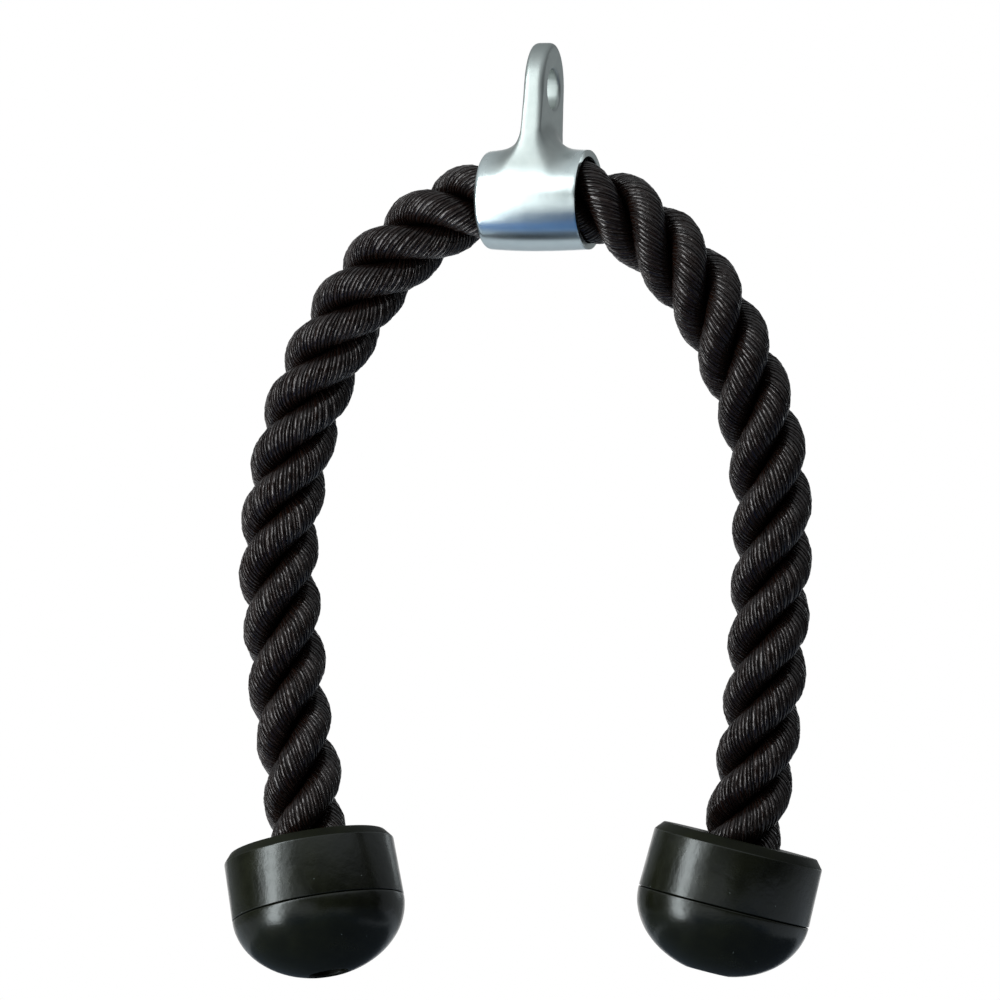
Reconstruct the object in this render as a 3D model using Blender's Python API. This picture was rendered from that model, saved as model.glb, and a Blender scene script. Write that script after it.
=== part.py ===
# Triceps rope attachment: a laid rope bent through a forged eyelet collar, with a rubber stopper on each end.
# Metres, +Z up. The origin is the centre of the eye, +X runs along the collar's bore, and -Y is the front.
import math

import bpy
import bmesh
import numpy as np
from mathutils import Matrix, Vector

# Rope
ROPE_DIAMETER = 0.0314
ROPE_LAY_LENGTH = 0.067
STRAND_COUNT = 3
STRAND_GAP = 0.0005
STRAND_PHASE_DEG = 40.0
STRAND_STRAIGHT_END = 0.012
STRAND_POINTS_PER_TURN = 11
STRAND_BEVEL_RESOLUTION = 2
ROUTE_STEP = 0.0008

# Collar
COLLAR_LENGTH = 0.0418
COLLAR_ROPE_CLEARANCE = 0.0012
COLLAR_WALL = 0.0028
COLLAR_BELLY_RISE = 0.0001
COLLAR_SEGMENTS = 48
COLLAR_OUTER_LIP_SHARE = 0.68
COLLAR_INNER_LIP_SHARE = 0.26
COLLAR_ARC_STEPS = 6
LIP_ARC_STEPS = 2

# Ear on the collar
EYE_TO_COLLAR_AXIS = 0.0442
EAR_LEAN_BACK_DEG = 9.2
EYE_BORE = 0.0155
EAR_TOP_ABOVE_EYE = 0.0183
EAR_WIDTH_AT_EYE = 0.0287
EAR_THICKNESS = 0.0082
EAR_EDGE_RADIUS = 0.0022
EYE_EDGE_RADIUS = 0.0010
EAR_CROWN_FILLET = 0.0115
EAR_FLANK_FILLET = 0.0080
EAR_ROOT_DEPTH = 0.0005
EAR_ROOT_WALL_SHARE = 0.50
EAR_SIDE_SWEEP_POWER = 2.2
EAR_SIDE_SWEEP_TRIES = 12
EAR_TOP_STATIONS = 14
EAR_SIDE_STATIONS = 7
EAR_ROOT_STATIONS = 14
EAR_FACE_ROW_SHARES = (0.04, 0.09, 0.15, 0.22, 0.31, 0.43, 0.62)

# Stoppers
STOPPER_DIAMETER = 0.0685
STOPPER_TOP_DIAMETER = 0.0675
RIM_CHAMFER_HEIGHT = 0.0036
RIM_CHAMFER_WIDTH = 0.0030
UPPER_SHELL_HEIGHT = 0.0265
THROAT_DEPTH = 0.0090
THROAT_LEAD_IN = 0.0010
DOME_DEPTH = 0.0270
SPIGOT_HEIGHT = 0.0050
SPIGOT_WALL = 0.0060
ACCESS_HOLE_DIAMETER = 0.0155
ACCESS_HOLE_DEPTH = 0.0085
ACCESS_HOLE_LIP = 0.0006
STOPPER_SEGMENTS = 36
DOME_ARC_STEPS = 8

# Inside each stopper
THRUST_WASHER_THICKNESS = 0.0020
THRUST_WASHER_WIDTH = 0.0052
FERRULE_WALL = 0.0030
FERRULE_LENGTH = 0.0220
FERRULE_CRIMP_DEPTH = 0.0010
FERRULE_CRIMP_WIDTH = 0.0036
FERRULE_CRIMP_SHARES = (0.30, 0.70)
FERRULE_SEGMENTS = 20
STRAND_END_SHORT_OF_FERRULE = 0.0006
FUSED_END_DIAMETER = 0.0340
FUSED_END_THICKNESS = 0.0045
FUSED_END_ROUND = 0.0020
CAVITY_FLOOR_GAP = 0.0006
SCREW_DIAMETER = 0.0040
SCREW_HEAD_DIAMETER = 0.0086
SCREW_HEAD_HEIGHT = 0.0030
SCREW_HEAD_ROUND = 0.0010
SCREW_REACH_IN_ROPE = 0.0130
SCREW_TIP_LENGTH = 0.0030
SCREW_TIP_DIAMETER = 0.0012
SCREW_SOCKET_ACROSS_CORNERS = 0.0034
SCREW_SOCKET_DEPTH = 0.0016
SCREW_WASHER_DIAMETER = 0.0146
SCREW_WASHER_THICKNESS = 0.0012
SMALL_SEGMENTS = 16
SOCKET_SIDES = 6

# Clearances
RUNNING_GAP = 0.0003
WELD_DISTANCE = 0.00001

# Where the leg joints sit: the run of rope from the middle of the collar to each pivot
PIVOT_RUN = 0.060

# The rope's route from the top of the left stopper to the top of the right one, measured from the middle of
# the collar's bore. The points are chosen by hand to lie on the middle of the rope in the photograph.
ROUTE = [
    (-0.0953, -0.0010, -0.2525),
    (-0.0985, 0.0015, -0.2257),
    (-0.1038, 0.0035, -0.2010),
    (-0.1065, 0.0045, -0.1760),
    (-0.1090, 0.0050, -0.1510),
    (-0.1082, 0.0045, -0.1259),
    (-0.1033, 0.0035, -0.1011),
    (-0.0959, 0.0025, -0.0768),
    (-0.0846, 0.0015, -0.0540),
    (-0.0702, 0.0005, -0.0326),
    (-0.0512, 0.0000, -0.0144),
    (-0.0274, 0.0000, -0.0014),
    (0.0000, 0.0000, 0.0006),
    (0.0205, 0.0000, -0.0004),
    (0.0345, 0.0000, -0.0056),
    (0.0479, 0.0000, -0.0157),
    (0.0649, 0.0005, -0.0336),
    (0.0777, 0.0015, -0.0550),
    (0.0872, 0.0025, -0.0782),
    (0.0929, 0.0035, -0.1025),
    (0.0946, 0.0040, -0.1275),
    (0.0937, 0.0045, -0.1526),
    (0.0924, 0.0045, -0.1777),
    (0.0901, 0.0045, -0.2026),
    (0.0865, 0.0045, -0.2275),
    (0.0818, 0.0035, -0.2505),
]
LEFT_END_LEAN_DEG = 12.2
LEFT_END_FORWARD_DEG = 7.1
RIGHT_END_LEAN_DEG = -13.6
RIGHT_END_FORWARD_DEG = 4.4

# Derived sizes
ROPE_RADIUS = ROPE_DIAMETER / 2
COLLAR_BORE = ROPE_DIAMETER + 2 * COLLAR_ROPE_CLEARANCE
COLLAR_END_DIAMETER = COLLAR_BORE + 2 * COLLAR_WALL
COLLAR_BELLY_DIAMETER = COLLAR_END_DIAMETER + 2 * COLLAR_BELLY_RISE
CAVITY_RADIUS = ROPE_RADIUS + RUNNING_GAP + THRUST_WASHER_WIDTH + RUNNING_GAP
FERRULE_TOP = -THROAT_DEPTH - RUNNING_GAP - THRUST_WASHER_THICKNESS - RUNNING_GAP
FERRULE_BOTTOM = FERRULE_TOP - FERRULE_LENGTH
STRAND_END = FERRULE_BOTTOM + STRAND_END_SHORT_OF_FERRULE
FUSED_END_TOP = FERRULE_BOTTOM - RUNNING_GAP
FUSED_END_BOTTOM = FUSED_END_TOP - FUSED_END_THICKNESS
CAVITY_FLOOR = FUSED_END_BOTTOM - CAVITY_FLOOR_GAP
SEAM_LEVEL = -UPPER_SHELL_HEIGHT
DOME_TOP_LEVEL = SEAM_LEVEL - RUNNING_GAP
ACCESS_RADIUS = ACCESS_HOLE_DIAMETER / 2
DOME_RADIUS = STOPPER_DIAMETER / 2
ACCESS_MOUTH_RADIUS = ACCESS_RADIUS + ACCESS_HOLE_LIP
ACCESS_MOUTH_DROP = DOME_DEPTH * math.sqrt(1 - (ACCESS_MOUTH_RADIUS / DOME_RADIUS) ** 2)
ACCESS_MOUTH_LEVEL = DOME_TOP_LEVEL - ACCESS_MOUTH_DROP
ACCESS_FLOOR_LEVEL = ACCESS_MOUTH_LEVEL + ACCESS_HOLE_DEPTH
SCREW_CLEAR_RADIUS = SCREW_DIAMETER / 2 + RUNNING_GAP
WASHER_LEVEL = ACCESS_FLOOR_LEVEL - RUNNING_GAP
HEAD_LEVEL = WASHER_LEVEL - SCREW_WASHER_THICKNESS - RUNNING_GAP


def clear_scene():
    for obj in list(bpy.data.objects):
        bpy.data.objects.remove(obj, do_unlink=True)


def make_material(name, colour, roughness, metallic):
    material = bpy.data.materials.new(name)
    material.use_nodes = True
    shader = material.node_tree.nodes["Principled BSDF"]
    shader.inputs["Base Color"].default_value = (*colour, 1.0)
    shader.inputs["Roughness"].default_value = roughness
    shader.inputs["Metallic"].default_value = metallic
    return material


def place(obj, world, parent, parent_world):
    """Puts an object at a world matrix under its parent empty."""
    bpy.context.collection.objects.link(obj)
    obj.parent = parent
    obj.matrix_local = parent_world.inverted() @ world


def make_empty(name, world):
    empty = bpy.data.objects.new(name, None)
    bpy.context.collection.objects.link(empty)
    empty.matrix_world = world
    return empty


def mesh_object(name, mesh, material):
    mesh.materials.append(material)
    mesh.shade_smooth()
    mesh.set_sharp_from_angle(angle=math.radians(35))
    return bpy.data.objects.new(name, mesh)


def turned(name, profile, segments, material, axis="Z"):
    """A closed profile of (radius, height) points, run down its outer side, turned round an axis."""
    mesh = bpy.data.meshes.new(name)
    if axis == "Z":
        points = [(radius, 0, height) for radius, height in profile]
    else:
        points = [(height, 0, radius) for radius, height in profile]
    edges = [(index, (index + 1) % len(points)) for index in range(len(points))]
    mesh.from_pydata(points, edges, [])
    obj = mesh_object(name, mesh, material)
    screw = obj.modifiers.new("turn", "SCREW")
    screw.axis = axis
    screw.angle = 2 * math.pi
    screw.steps = segments
    screw.render_steps = segments
    screw.use_merge_vertices = True
    screw.merge_threshold = WELD_DISTANCE
    screw.use_smooth_shade = True
    return obj


def arc(centre, radii, start, stop, steps):
    """Points on an elliptical arc, from the start angle to the stop angle in degrees."""
    angles = [math.radians(start + (stop - start) * step / steps) for step in range(steps + 1)]
    return [
        (centre[0] + radii[0] * math.cos(angle), centre[1] + radii[1] * math.sin(angle))
        for angle in angles
    ]


def end_direction(lean_deg, forward_deg):
    """The way a rope end points as it goes down into its stopper."""
    lean, forward = math.radians(lean_deg), math.radians(forward_deg)
    return np.array(
        [
            math.sin(lean) * math.cos(forward),
            -math.sin(forward),
            -math.cos(lean) * math.cos(forward),
        ]
    )


def smooth_route(points, first_direction, last_direction):
    """A cubic spline through the points, with a set direction at both ends, sampled finely."""
    knots = np.concatenate([[0], np.cumsum(np.linalg.norm(np.diff(points, axis=0), axis=1))])
    spans = np.diff(knots)[:, None]
    slopes = np.diff(points, axis=0) / spans
    count = len(points)
    system = np.zeros((count, count))
    right = np.zeros((count, 3))
    system[0, 0] = system[-1, -1] = 1
    right[0], right[-1] = first_direction, last_direction
    for row in range(1, count - 1):
        before, after = spans[row - 1, 0], spans[row, 0]
        system[row, row - 1 : row + 2] = after, 2 * (before + after), before
        right[row] = 3 * (after * slopes[row - 1] + before * slopes[row])
    tangents = np.linalg.solve(system, right)
    sampled = []
    for index in range(count - 1):
        steps = max(1, math.ceil(spans[index, 0] / ROUTE_STEP))
        share = (np.arange(steps) / steps)[:, None]
        square, cube = share**2, share**3
        sampled.append(
            (2 * cube - 3 * square + 1) * points[index]
            + (cube - 2 * square + share) * spans[index] * tangents[index]
            + (3 * square - 2 * cube) * points[index + 1]
            + (cube - square) * spans[index] * tangents[index + 1]
        )
    return np.vstack(sampled + [points[-1:]])


def collar_lean():
    """The collar turns freely on the rope, and its ear leans back from the eye as in the photograph."""
    return Matrix.Rotation(-math.radians(EAR_LEAN_BACK_DEG), 4, "X")


def collar_middle():
    return collar_lean() @ Vector((0, 0, -EYE_TO_COLLAR_AXIS))


class RopeLine:
    """The middle line of the rope by run, with a frame that doesn't twist along it."""

    def __init__(self):
        lift = np.array(collar_middle())
        self.left_down = end_direction(LEFT_END_LEAN_DEG, LEFT_END_FORWARD_DEG)
        self.right_down = end_direction(RIGHT_END_LEAN_DEG, RIGHT_END_FORWARD_DEG)
        free = smooth_route(np.array(ROUTE) + lift, -self.left_down, self.right_down)
        self.left_top, self.right_top = free[0], free[-1]
        steps = math.ceil(-STRAND_END / ROUTE_STEP)
        sunk = (np.arange(1, steps + 1) / steps * -STRAND_END)[:, None]
        before = self.left_top + sunk[::-1] * self.left_down
        after = self.right_top + sunk * self.right_down
        self.points = np.vstack([before, free, after])
        lengths = np.linalg.norm(np.diff(self.points, axis=0), axis=1)
        self.runs = np.concatenate([[0], np.cumsum(lengths)])
        self.length = float(self.runs[-1])
        self.tangents = np.gradient(self.points, self.runs, axis=0)
        self.tangents /= np.linalg.norm(self.tangents, axis=1)[:, None]
        sides = [np.cross(self.tangents[0], [0, 1, 0])]
        for tangent in self.tangents:
            side = sides[-1] - tangent * (sides[-1] @ tangent)
            sides.append(side / np.linalg.norm(side))
        self.sides = np.array(sides[1:])
        self.middle_run = float(np.interp(0, self.points[:, 0], self.runs))

    def tightest_radius(self):
        turn = np.linalg.norm(np.gradient(self.tangents, self.runs, axis=0), axis=1)
        return 1 / float(turn.max())

    def at(self, run):
        """The point and the two cross directions at a run along the rope."""
        point = np.array([np.interp(run, self.runs, self.points[:, k]) for k in range(3)])
        tangent = np.array([np.interp(run, self.runs, self.tangents[:, k]) for k in range(3)])
        side = np.array([np.interp(run, self.runs, self.sides[:, k]) for k in range(3)])
        tangent /= np.linalg.norm(tangent)
        side -= tangent * (side @ tangent)
        side /= np.linalg.norm(side)
        return point, side, np.cross(tangent, side)


def helix_spacing(radius, lay_length):
    """The least distance between neighbouring strands' middles on a straight rope."""
    offsets = np.linspace(-lay_length / 2, lay_length / 2, 2001)
    turns = 2 * math.pi * (1 / STRAND_COUNT + offsets / lay_length)
    return float(np.sqrt(2 * radius**2 * (1 - np.cos(turns)) + offsets**2).min())


def strand_sizes(line):
    """The strands' radius and how far out they lie, so that they just clear at the tightest bend."""
    tightest = line.tightest_radius()
    low, high = ROPE_RADIUS / 3, ROPE_RADIUS
    for _ in range(50):
        centre = (low + high) / 2
        inner_lay = ROPE_LAY_LENGTH * (1 - centre / tightest)
        if helix_spacing(centre, inner_lay) - STRAND_GAP < 2 * (ROPE_RADIUS - centre):
            low = centre
        else:
            high = centre
    return ROPE_RADIUS - centre, centre


def strand_points(line, centre_radius, index):
    """A strand's middle line: it winds round the rope's, and runs straight inside both ferrules."""
    turns = line.length / ROPE_LAY_LENGTH
    count = math.ceil(turns * STRAND_POINTS_PER_TURN)
    points = []
    for step in range(count + 1):
        run = line.length * step / count
        point, side, across = line.at(run)
        wound = min(max(run, STRAND_STRAIGHT_END), line.length - STRAND_STRAIGHT_END)
        angle = 2 * math.pi * ((wound - line.middle_run) / ROPE_LAY_LENGTH + index / STRAND_COUNT)
        angle += math.radians(STRAND_PHASE_DEG)
        points.append(point + centre_radius * (math.cos(angle) * side + math.sin(angle) * across))
    return np.array(points)


def least_gap(first, second, radius):
    """The least gap between two strands, measured from points along both."""
    least = float("inf")
    share = np.linspace(0, 1, 5)[:, None, None]
    fine = [
        (line[:-1] * (1 - share) + line[1:] * share).reshape(-1, 3) for line in (first, second)
    ]
    for point in fine[0]:
        least = min(least, float(np.linalg.norm(fine[1] - point, axis=1).min()))
    return least - 2 * radius


def make_strands(line, world, pivot, material):
    radius, centre_radius = strand_sizes(line)
    routes = [strand_points(line, centre_radius, index) for index in range(STRAND_COUNT)]
    gap = min(
        least_gap(routes[index], routes[(index + 1) % STRAND_COUNT], radius)
        for index in range(STRAND_COUNT)
    )
    print("strand radius", round(radius, 5), "lies out by", round(centre_radius, 5))
    print("least gap between strands", round(gap, 5), "rope length", round(line.length, 4))
    for index, route in enumerate(routes):
        name = "rope_strand_" + "abc"[index]
        curve = bpy.data.curves.new(name, "CURVE")
        curve.dimensions = "3D"
        curve.bevel_depth = radius
        curve.bevel_resolution = STRAND_BEVEL_RESOLUTION
        curve.use_fill_caps = True
        spline = curve.splines.new("POLY")
        spline.points.add(len(route) - 1)
        for spot, place_at in zip(spline.points, route):
            spot.co = (*(world.inverted() @ Vector(place_at)), 1)
        spline.use_smooth = True
        curve.materials.append(material)
        place(bpy.data.objects.new(name, curve), world, pivot, world)


def collar_profile():
    """The tube's wall, bellied outside, straight inside, with rounded lips."""
    half = COLLAR_LENGTH / 2
    bore = COLLAR_BORE / 2
    lip = COLLAR_WALL * COLLAR_OUTER_LIP_SHARE
    inner = COLLAR_WALL * COLLAR_INNER_LIP_SHARE
    end = COLLAR_END_DIAMETER / 2
    belly = COLLAR_BELLY_DIAMETER / 2
    outer = []
    for step in range(COLLAR_ARC_STEPS + 1):
        share = 2 * step / COLLAR_ARC_STEPS - 1
        outer.append((belly - (belly - end) * share**2, share * (half - lip)))
    right_out = arc((end - lip, half - lip), (lip, lip), 0, 90, LIP_ARC_STEPS)[1:]
    right_in = arc((bore + inner, half - inner), (inner, inner), 90, 180, LIP_ARC_STEPS)
    left_in = arc((bore + inner, inner - half), (inner, inner), 180, 270, LIP_ARC_STEPS)
    left_out = arc((end - lip, lip - half), (lip, lip), 270, 360, LIP_ARC_STEPS)[:-1]
    return outer + right_out + right_in + left_in + left_out


def ear_outline():
    """The ear's outline and its hole seen along the bore, as matching stations from the root's middle."""
    reach = COLLAR_BELLY_DIAMETER / 2
    half = EAR_WIDTH_AT_EYE / 2
    drop = EYE_TO_COLLAR_AXIS
    # The side leaves the top's ellipse straight down at the eye and sweeps out until it just touches the
    # collar's round flank, where both have the same slope.
    touch = math.pi / 2
    for _ in range(EAR_SIDE_SWEEP_TRIES):
        spread = EAR_SIDE_SWEEP_POWER * (reach * math.sin(touch) - half)
        touch = math.atan2(drop - reach * math.cos(touch), spread)
    flank = (reach * math.sin(touch), reach * math.cos(touch) - drop)
    root = COLLAR_BORE / 2 + (reach - COLLAR_BORE / 2) * EAR_ROOT_WALL_SHARE
    outline = []
    for step in range(EAR_ROOT_STATIONS // 2):
        angle = touch * step / (EAR_ROOT_STATIONS // 2)
        outline.append((root * math.sin(angle), root * math.cos(angle) - drop))
    for step in range(EAR_SIDE_STATIONS):
        share = 1 - step / EAR_SIDE_STATIONS
        outline.append((half + (flank[0] - half) * share**EAR_SIDE_SWEEP_POWER, flank[1] * share))
    top = arc((0, 0), (half, EAR_TOP_ABOVE_EYE), 0, 90, EAR_TOP_STATIONS // 2)
    outline += top
    mirrored = [(-y, z) for y, z in reversed(outline[1:-1])]
    outline += mirrored
    hole = []
    eye = EYE_BORE / 2
    count = len(outline)
    for index, (y, z) in enumerate(outline):
        even = 2 * math.pi * index / count - math.pi / 2
        hole.append((eye * math.cos(even), eye * math.sin(even)))
    return outline, hole


def fillet_spread(y, z):
    """How much wider the ear's half thickness is near the collar, from the fillet at its root."""
    height = z + EYE_TO_COLLAR_AXIS
    rise = math.hypot(y, height) - COLLAR_BELLY_DIAMETER / 2 + EAR_ROOT_DEPTH
    round_share = min(1.0, math.atan2(abs(y), height) / (math.pi / 2))
    radius = EAR_CROWN_FILLET + (EAR_FLANK_FILLET - EAR_CROWN_FILLET) * round_share
    inside = min(radius, max(0.0, radius - rise))
    return radius - math.sqrt(radius**2 - inside**2)


def ear_section(edge, hole):
    """One closed loop round the ear's wall, from its outer edge to the eye and back on the other face."""
    edge, hole = np.array(edge), np.array(hole)
    inward = (hole - edge) / np.linalg.norm(hole - edge)
    turn = 1 - math.sqrt(0.5)
    spots = [
        (edge, EAR_EDGE_RADIUS),
        (edge + inward * EAR_EDGE_RADIUS * turn, EAR_EDGE_RADIUS * turn),
        (edge + inward * EAR_EDGE_RADIUS, 0),
    ]
    inner_edge = edge + inward * EAR_EDGE_RADIUS
    inner_hole = hole - inward * EYE_EDGE_RADIUS
    for share in EAR_FACE_ROW_SHARES:
        spots.append((inner_edge + (inner_hole - inner_edge) * share, 0))
    spots += [(inner_hole, 0), (hole, EYE_EDGE_RADIUS)]
    side = []
    for (y, z), lower in spots:
        side.append((EAR_THICKNESS / 2 + fillet_spread(y, z) - lower, y, z))
    return side + [(-x, y, z) for x, y, z in reversed(side)]


def make_ear():
    sections = [ear_section(edge, hole) for edge, hole in zip(*ear_outline())]
    shape = bmesh.new()
    rings = [[shape.verts.new(spot) for spot in section] for section in sections]
    for ring, following in zip(rings, rings[1:] + rings[:1]):
        for index in range(len(ring)):
            after = (index + 1) % len(ring)
            shape.faces.new((ring[index], following[index], following[after], ring[after]))
    bmesh.ops.recalc_face_normals(shape, faces=shape.faces)
    mesh = bpy.data.meshes.new("ear")
    shape.to_mesh(mesh)
    shape.free()
    ear = bpy.data.objects.new("ear_form", mesh)
    bpy.context.collection.objects.link(ear)
    ear.matrix_world = collar_lean()
    ear.hide_render = True
    ear.display_type = "WIRE"
    return ear


def make_collar(material):
    ear = make_ear()
    collar = turned("eyelet_collar", collar_profile(), COLLAR_SEGMENTS, material, axis="X")
    bpy.context.collection.objects.link(collar)
    collar.matrix_world = Matrix.Translation(collar_middle()) @ collar_lean()
    join = collar.modifiers.new("ear", "BOOLEAN")
    join.operation = "UNION"
    join.object = ear


def shell_profile():
    throat = ROPE_RADIUS + RUNNING_GAP
    top = STOPPER_TOP_DIAMETER / 2
    seam = STOPPER_DIAMETER / 2
    rebate = CAVITY_RADIUS + SPIGOT_WALL + RUNNING_GAP
    return [
        (throat + THROAT_LEAD_IN, 0),
        (top - RIM_CHAMFER_WIDTH, 0),
        (top, -RIM_CHAMFER_HEIGHT),
        (seam, SEAM_LEVEL),
        (rebate, SEAM_LEVEL),
        (rebate, SEAM_LEVEL + SPIGOT_HEIGHT),
        (CAVITY_RADIUS, SEAM_LEVEL + SPIGOT_HEIGHT),
        (CAVITY_RADIUS, -THROAT_DEPTH),
        (throat, -THROAT_DEPTH),
        (throat, -THROAT_LEAD_IN),
    ]


def dome_profile():
    spigot = CAVITY_RADIUS + SPIGOT_WALL
    spigot_top = SEAM_LEVEL + SPIGOT_HEIGHT - RUNNING_GAP
    mouth = math.degrees(math.acos(ACCESS_MOUTH_RADIUS / DOME_RADIUS))
    outside = arc((0, DOME_TOP_LEVEL), (DOME_RADIUS, DOME_DEPTH), 0, -mouth, DOME_ARC_STEPS)
    return outside + [
        (ACCESS_RADIUS, ACCESS_MOUTH_LEVEL + ACCESS_HOLE_LIP),
        (ACCESS_RADIUS, ACCESS_FLOOR_LEVEL),
        (SCREW_CLEAR_RADIUS, ACCESS_FLOOR_LEVEL),
        (SCREW_CLEAR_RADIUS, CAVITY_FLOOR),
        (CAVITY_RADIUS, CAVITY_FLOOR),
        (CAVITY_RADIUS, spigot_top),
        (spigot, spigot_top),
        (spigot, DOME_TOP_LEVEL),
    ]


def ring_profile(inner, outer, top, bottom):
    return [(outer, top), (outer, bottom), (inner, bottom), (inner, top)]


def ferrule_profile():
    inner = ROPE_RADIUS + RUNNING_GAP
    outer = inner + FERRULE_WALL
    points = [(inner, FERRULE_TOP), (outer, FERRULE_TOP)]
    for share in FERRULE_CRIMP_SHARES:
        middle = FERRULE_TOP - FERRULE_LENGTH * share
        points += [
            (outer, middle + FERRULE_CRIMP_WIDTH / 2),
            (outer - FERRULE_CRIMP_DEPTH, middle + FERRULE_CRIMP_WIDTH / 4),
            (outer - FERRULE_CRIMP_DEPTH, middle - FERRULE_CRIMP_WIDTH / 4),
            (outer, middle - FERRULE_CRIMP_WIDTH / 2),
        ]
    return points + [(outer, FERRULE_BOTTOM), (inner, FERRULE_BOTTOM)]


def fused_end_profile():
    outer = FUSED_END_DIAMETER / 2
    middle = (outer - FUSED_END_ROUND, FUSED_END_BOTTOM + FUSED_END_ROUND)
    rim = arc(middle, (FUSED_END_ROUND, FUSED_END_ROUND), 0, -90, LIP_ARC_STEPS)
    return (
        [(SCREW_CLEAR_RADIUS, FUSED_END_TOP), (outer, FUSED_END_TOP)]
        + rim
        + [(SCREW_CLEAR_RADIUS, FUSED_END_BOTTOM)]
    )


def make_screw(name, material):
    """The pan-headed screw, point up, turned from a half profile and with a socket cut in its head."""
    shank = SCREW_DIAMETER / 2
    head = SCREW_HEAD_DIAMETER / 2
    bottom = HEAD_LEVEL - SCREW_HEAD_HEIGHT
    tip = STRAND_END + SCREW_REACH_IN_ROPE
    middle = (head - SCREW_HEAD_ROUND, bottom + SCREW_HEAD_ROUND)
    rim = arc(middle, (SCREW_HEAD_ROUND, SCREW_HEAD_ROUND), 0, -90, LIP_ARC_STEPS)
    levels = [
        (SCREW_TIP_DIAMETER / 2, tip),
        (shank, tip - SCREW_TIP_LENGTH),
        (shank, HEAD_LEVEL),
        (head, HEAD_LEVEL),
        *rim,
    ]
    shape = bmesh.new()
    rings = []
    for radius, level in levels:
        ring = bmesh.ops.create_circle(shape, segments=SMALL_SEGMENTS, radius=radius)["verts"]
        bmesh.ops.translate(shape, verts=ring, vec=(0, 0, level))
        rings.append(ring)
    for upper, lower in zip(rings, rings[1:]):
        for index in range(SMALL_SEGMENTS):
            after = (index + 1) % SMALL_SEGMENTS
            shape.faces.new((upper[index], lower[index], lower[after], upper[after]))
    shape.faces.new(rings[0])
    socket = bmesh.ops.create_circle(
        shape, segments=SOCKET_SIDES, radius=SCREW_SOCKET_ACROSS_CORNERS / 2
    )["verts"]
    bmesh.ops.translate(shape, verts=socket, vec=(0, 0, bottom))
    ring_edges = [edge for edge in shape.edges if edge.is_wire or edge.is_boundary]
    bmesh.ops.bridge_loops(shape, edges=ring_edges)
    floor = shape.faces.new(socket)
    pressed = bmesh.ops.extrude_discrete_faces(shape, faces=[floor])["faces"]
    bmesh.ops.translate(shape, verts=pressed[0].verts, vec=(0, 0, SCREW_SOCKET_DEPTH))
    bmesh.ops.recalc_face_normals(shape, faces=shape.faces)
    mesh = bpy.data.meshes.new(name)
    shape.to_mesh(mesh)
    shape.free()
    return mesh_object(name, mesh, material)


def make_stopper(side, top, down, pivot, pivot_world, materials):
    """One rubber stopper and all that it holds, with its local -Z along the rope's end."""
    turn = Vector((0, 0, -1)).rotation_difference(Vector(down)).to_matrix().to_4x4()
    world = Matrix.Translation(top) @ turn
    bore = ROPE_RADIUS + RUNNING_GAP
    washer_top = -THROAT_DEPTH - RUNNING_GAP
    washer = ring_profile(
        bore, bore + THRUST_WASHER_WIDTH, washer_top, washer_top - THRUST_WASHER_THICKNESS
    )
    small_washer = ring_profile(
        SCREW_CLEAR_RADIUS,
        SCREW_WASHER_DIAMETER / 2,
        WASHER_LEVEL,
        WASHER_LEVEL - SCREW_WASHER_THICKNESS,
    )
    rubber, steel = materials["rubber"], materials["steel"]
    pieces = [
        turned(side + "_upper_shell", shell_profile(), STOPPER_SEGMENTS, rubber),
        turned(side + "_dome", dome_profile(), STOPPER_SEGMENTS, materials["dome"]),
        turned(side + "_thrust_washer", washer, FERRULE_SEGMENTS, steel),
        turned(side + "_crimp_ferrule", ferrule_profile(), FERRULE_SEGMENTS, materials["ferrule"]),
        turned(side + "_fused_end", fused_end_profile(), FERRULE_SEGMENTS, materials["melt"]),
        turned(side + "_screw_washer", small_washer, SMALL_SEGMENTS, materials["small_washer"]),
        make_screw(side + "_retaining_screw", materials["screw"]),
    ]
    for piece in pieces:
        place(piece, world, pivot, pivot_world)


def make_part():
    clear_scene()
    line = RopeLine()
    axis_world = Matrix.Translation(collar_middle())
    swivel = make_empty("rope_swivel_axis", axis_world)
    make_collar(make_material("cast_aluminium", (0.62, 0.65, 0.64), 0.32, 1.0))
    make_strands(line, axis_world, swivel, make_material("black_rope", (0.018, 0.016, 0.016), 0.6, 0.0))
    materials = {
        "rubber": make_material("moulded_rubber", (0.014, 0.016, 0.015), 0.38, 0.0),
        "dome": make_material("moulded_rubber_dome", (0.013, 0.015, 0.014), 0.36, 0.0),
        "steel": make_material("zinc_plated_washer", (0.60, 0.61, 0.62), 0.35, 1.0),
        "ferrule": make_material("crimped_aluminium", (0.72, 0.73, 0.74), 0.40, 1.0),
        "melt": make_material("melted_rope", (0.012, 0.011, 0.011), 0.25, 0.0),
        "small_washer": make_material("zinc_plated_small_washer", (0.58, 0.59, 0.60), 0.35, 1.0),
        "screw": make_material("black_steel_screw", (0.05, 0.05, 0.055), 0.40, 1.0),
    }
    ends = (
        ("left", line.left_top, line.left_down, -PIVOT_RUN),
        ("right", line.right_top, line.right_down, PIVOT_RUN),
    )
    for side, top, down, run in ends:
        spot = line.at(line.middle_run + run)[0]
        pivot_world = Matrix.Translation(spot)
        pivot = make_empty(side + "_leg_pivot", axis_world)
        pivot.parent = swivel
        pivot.matrix_local = axis_world.inverted() @ pivot_world
        make_stopper(side, top, down, pivot, pivot_world, materials)
        print(side, "leg pivot", [round(float(v), 5) for v in spot])
        print(side, "stopper top", [round(float(v), 5) for v in top], "down", down.round(5))


make_part()
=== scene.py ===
import math

import bpy
import numpy as np
from mathutils import Matrix, Vector


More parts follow.
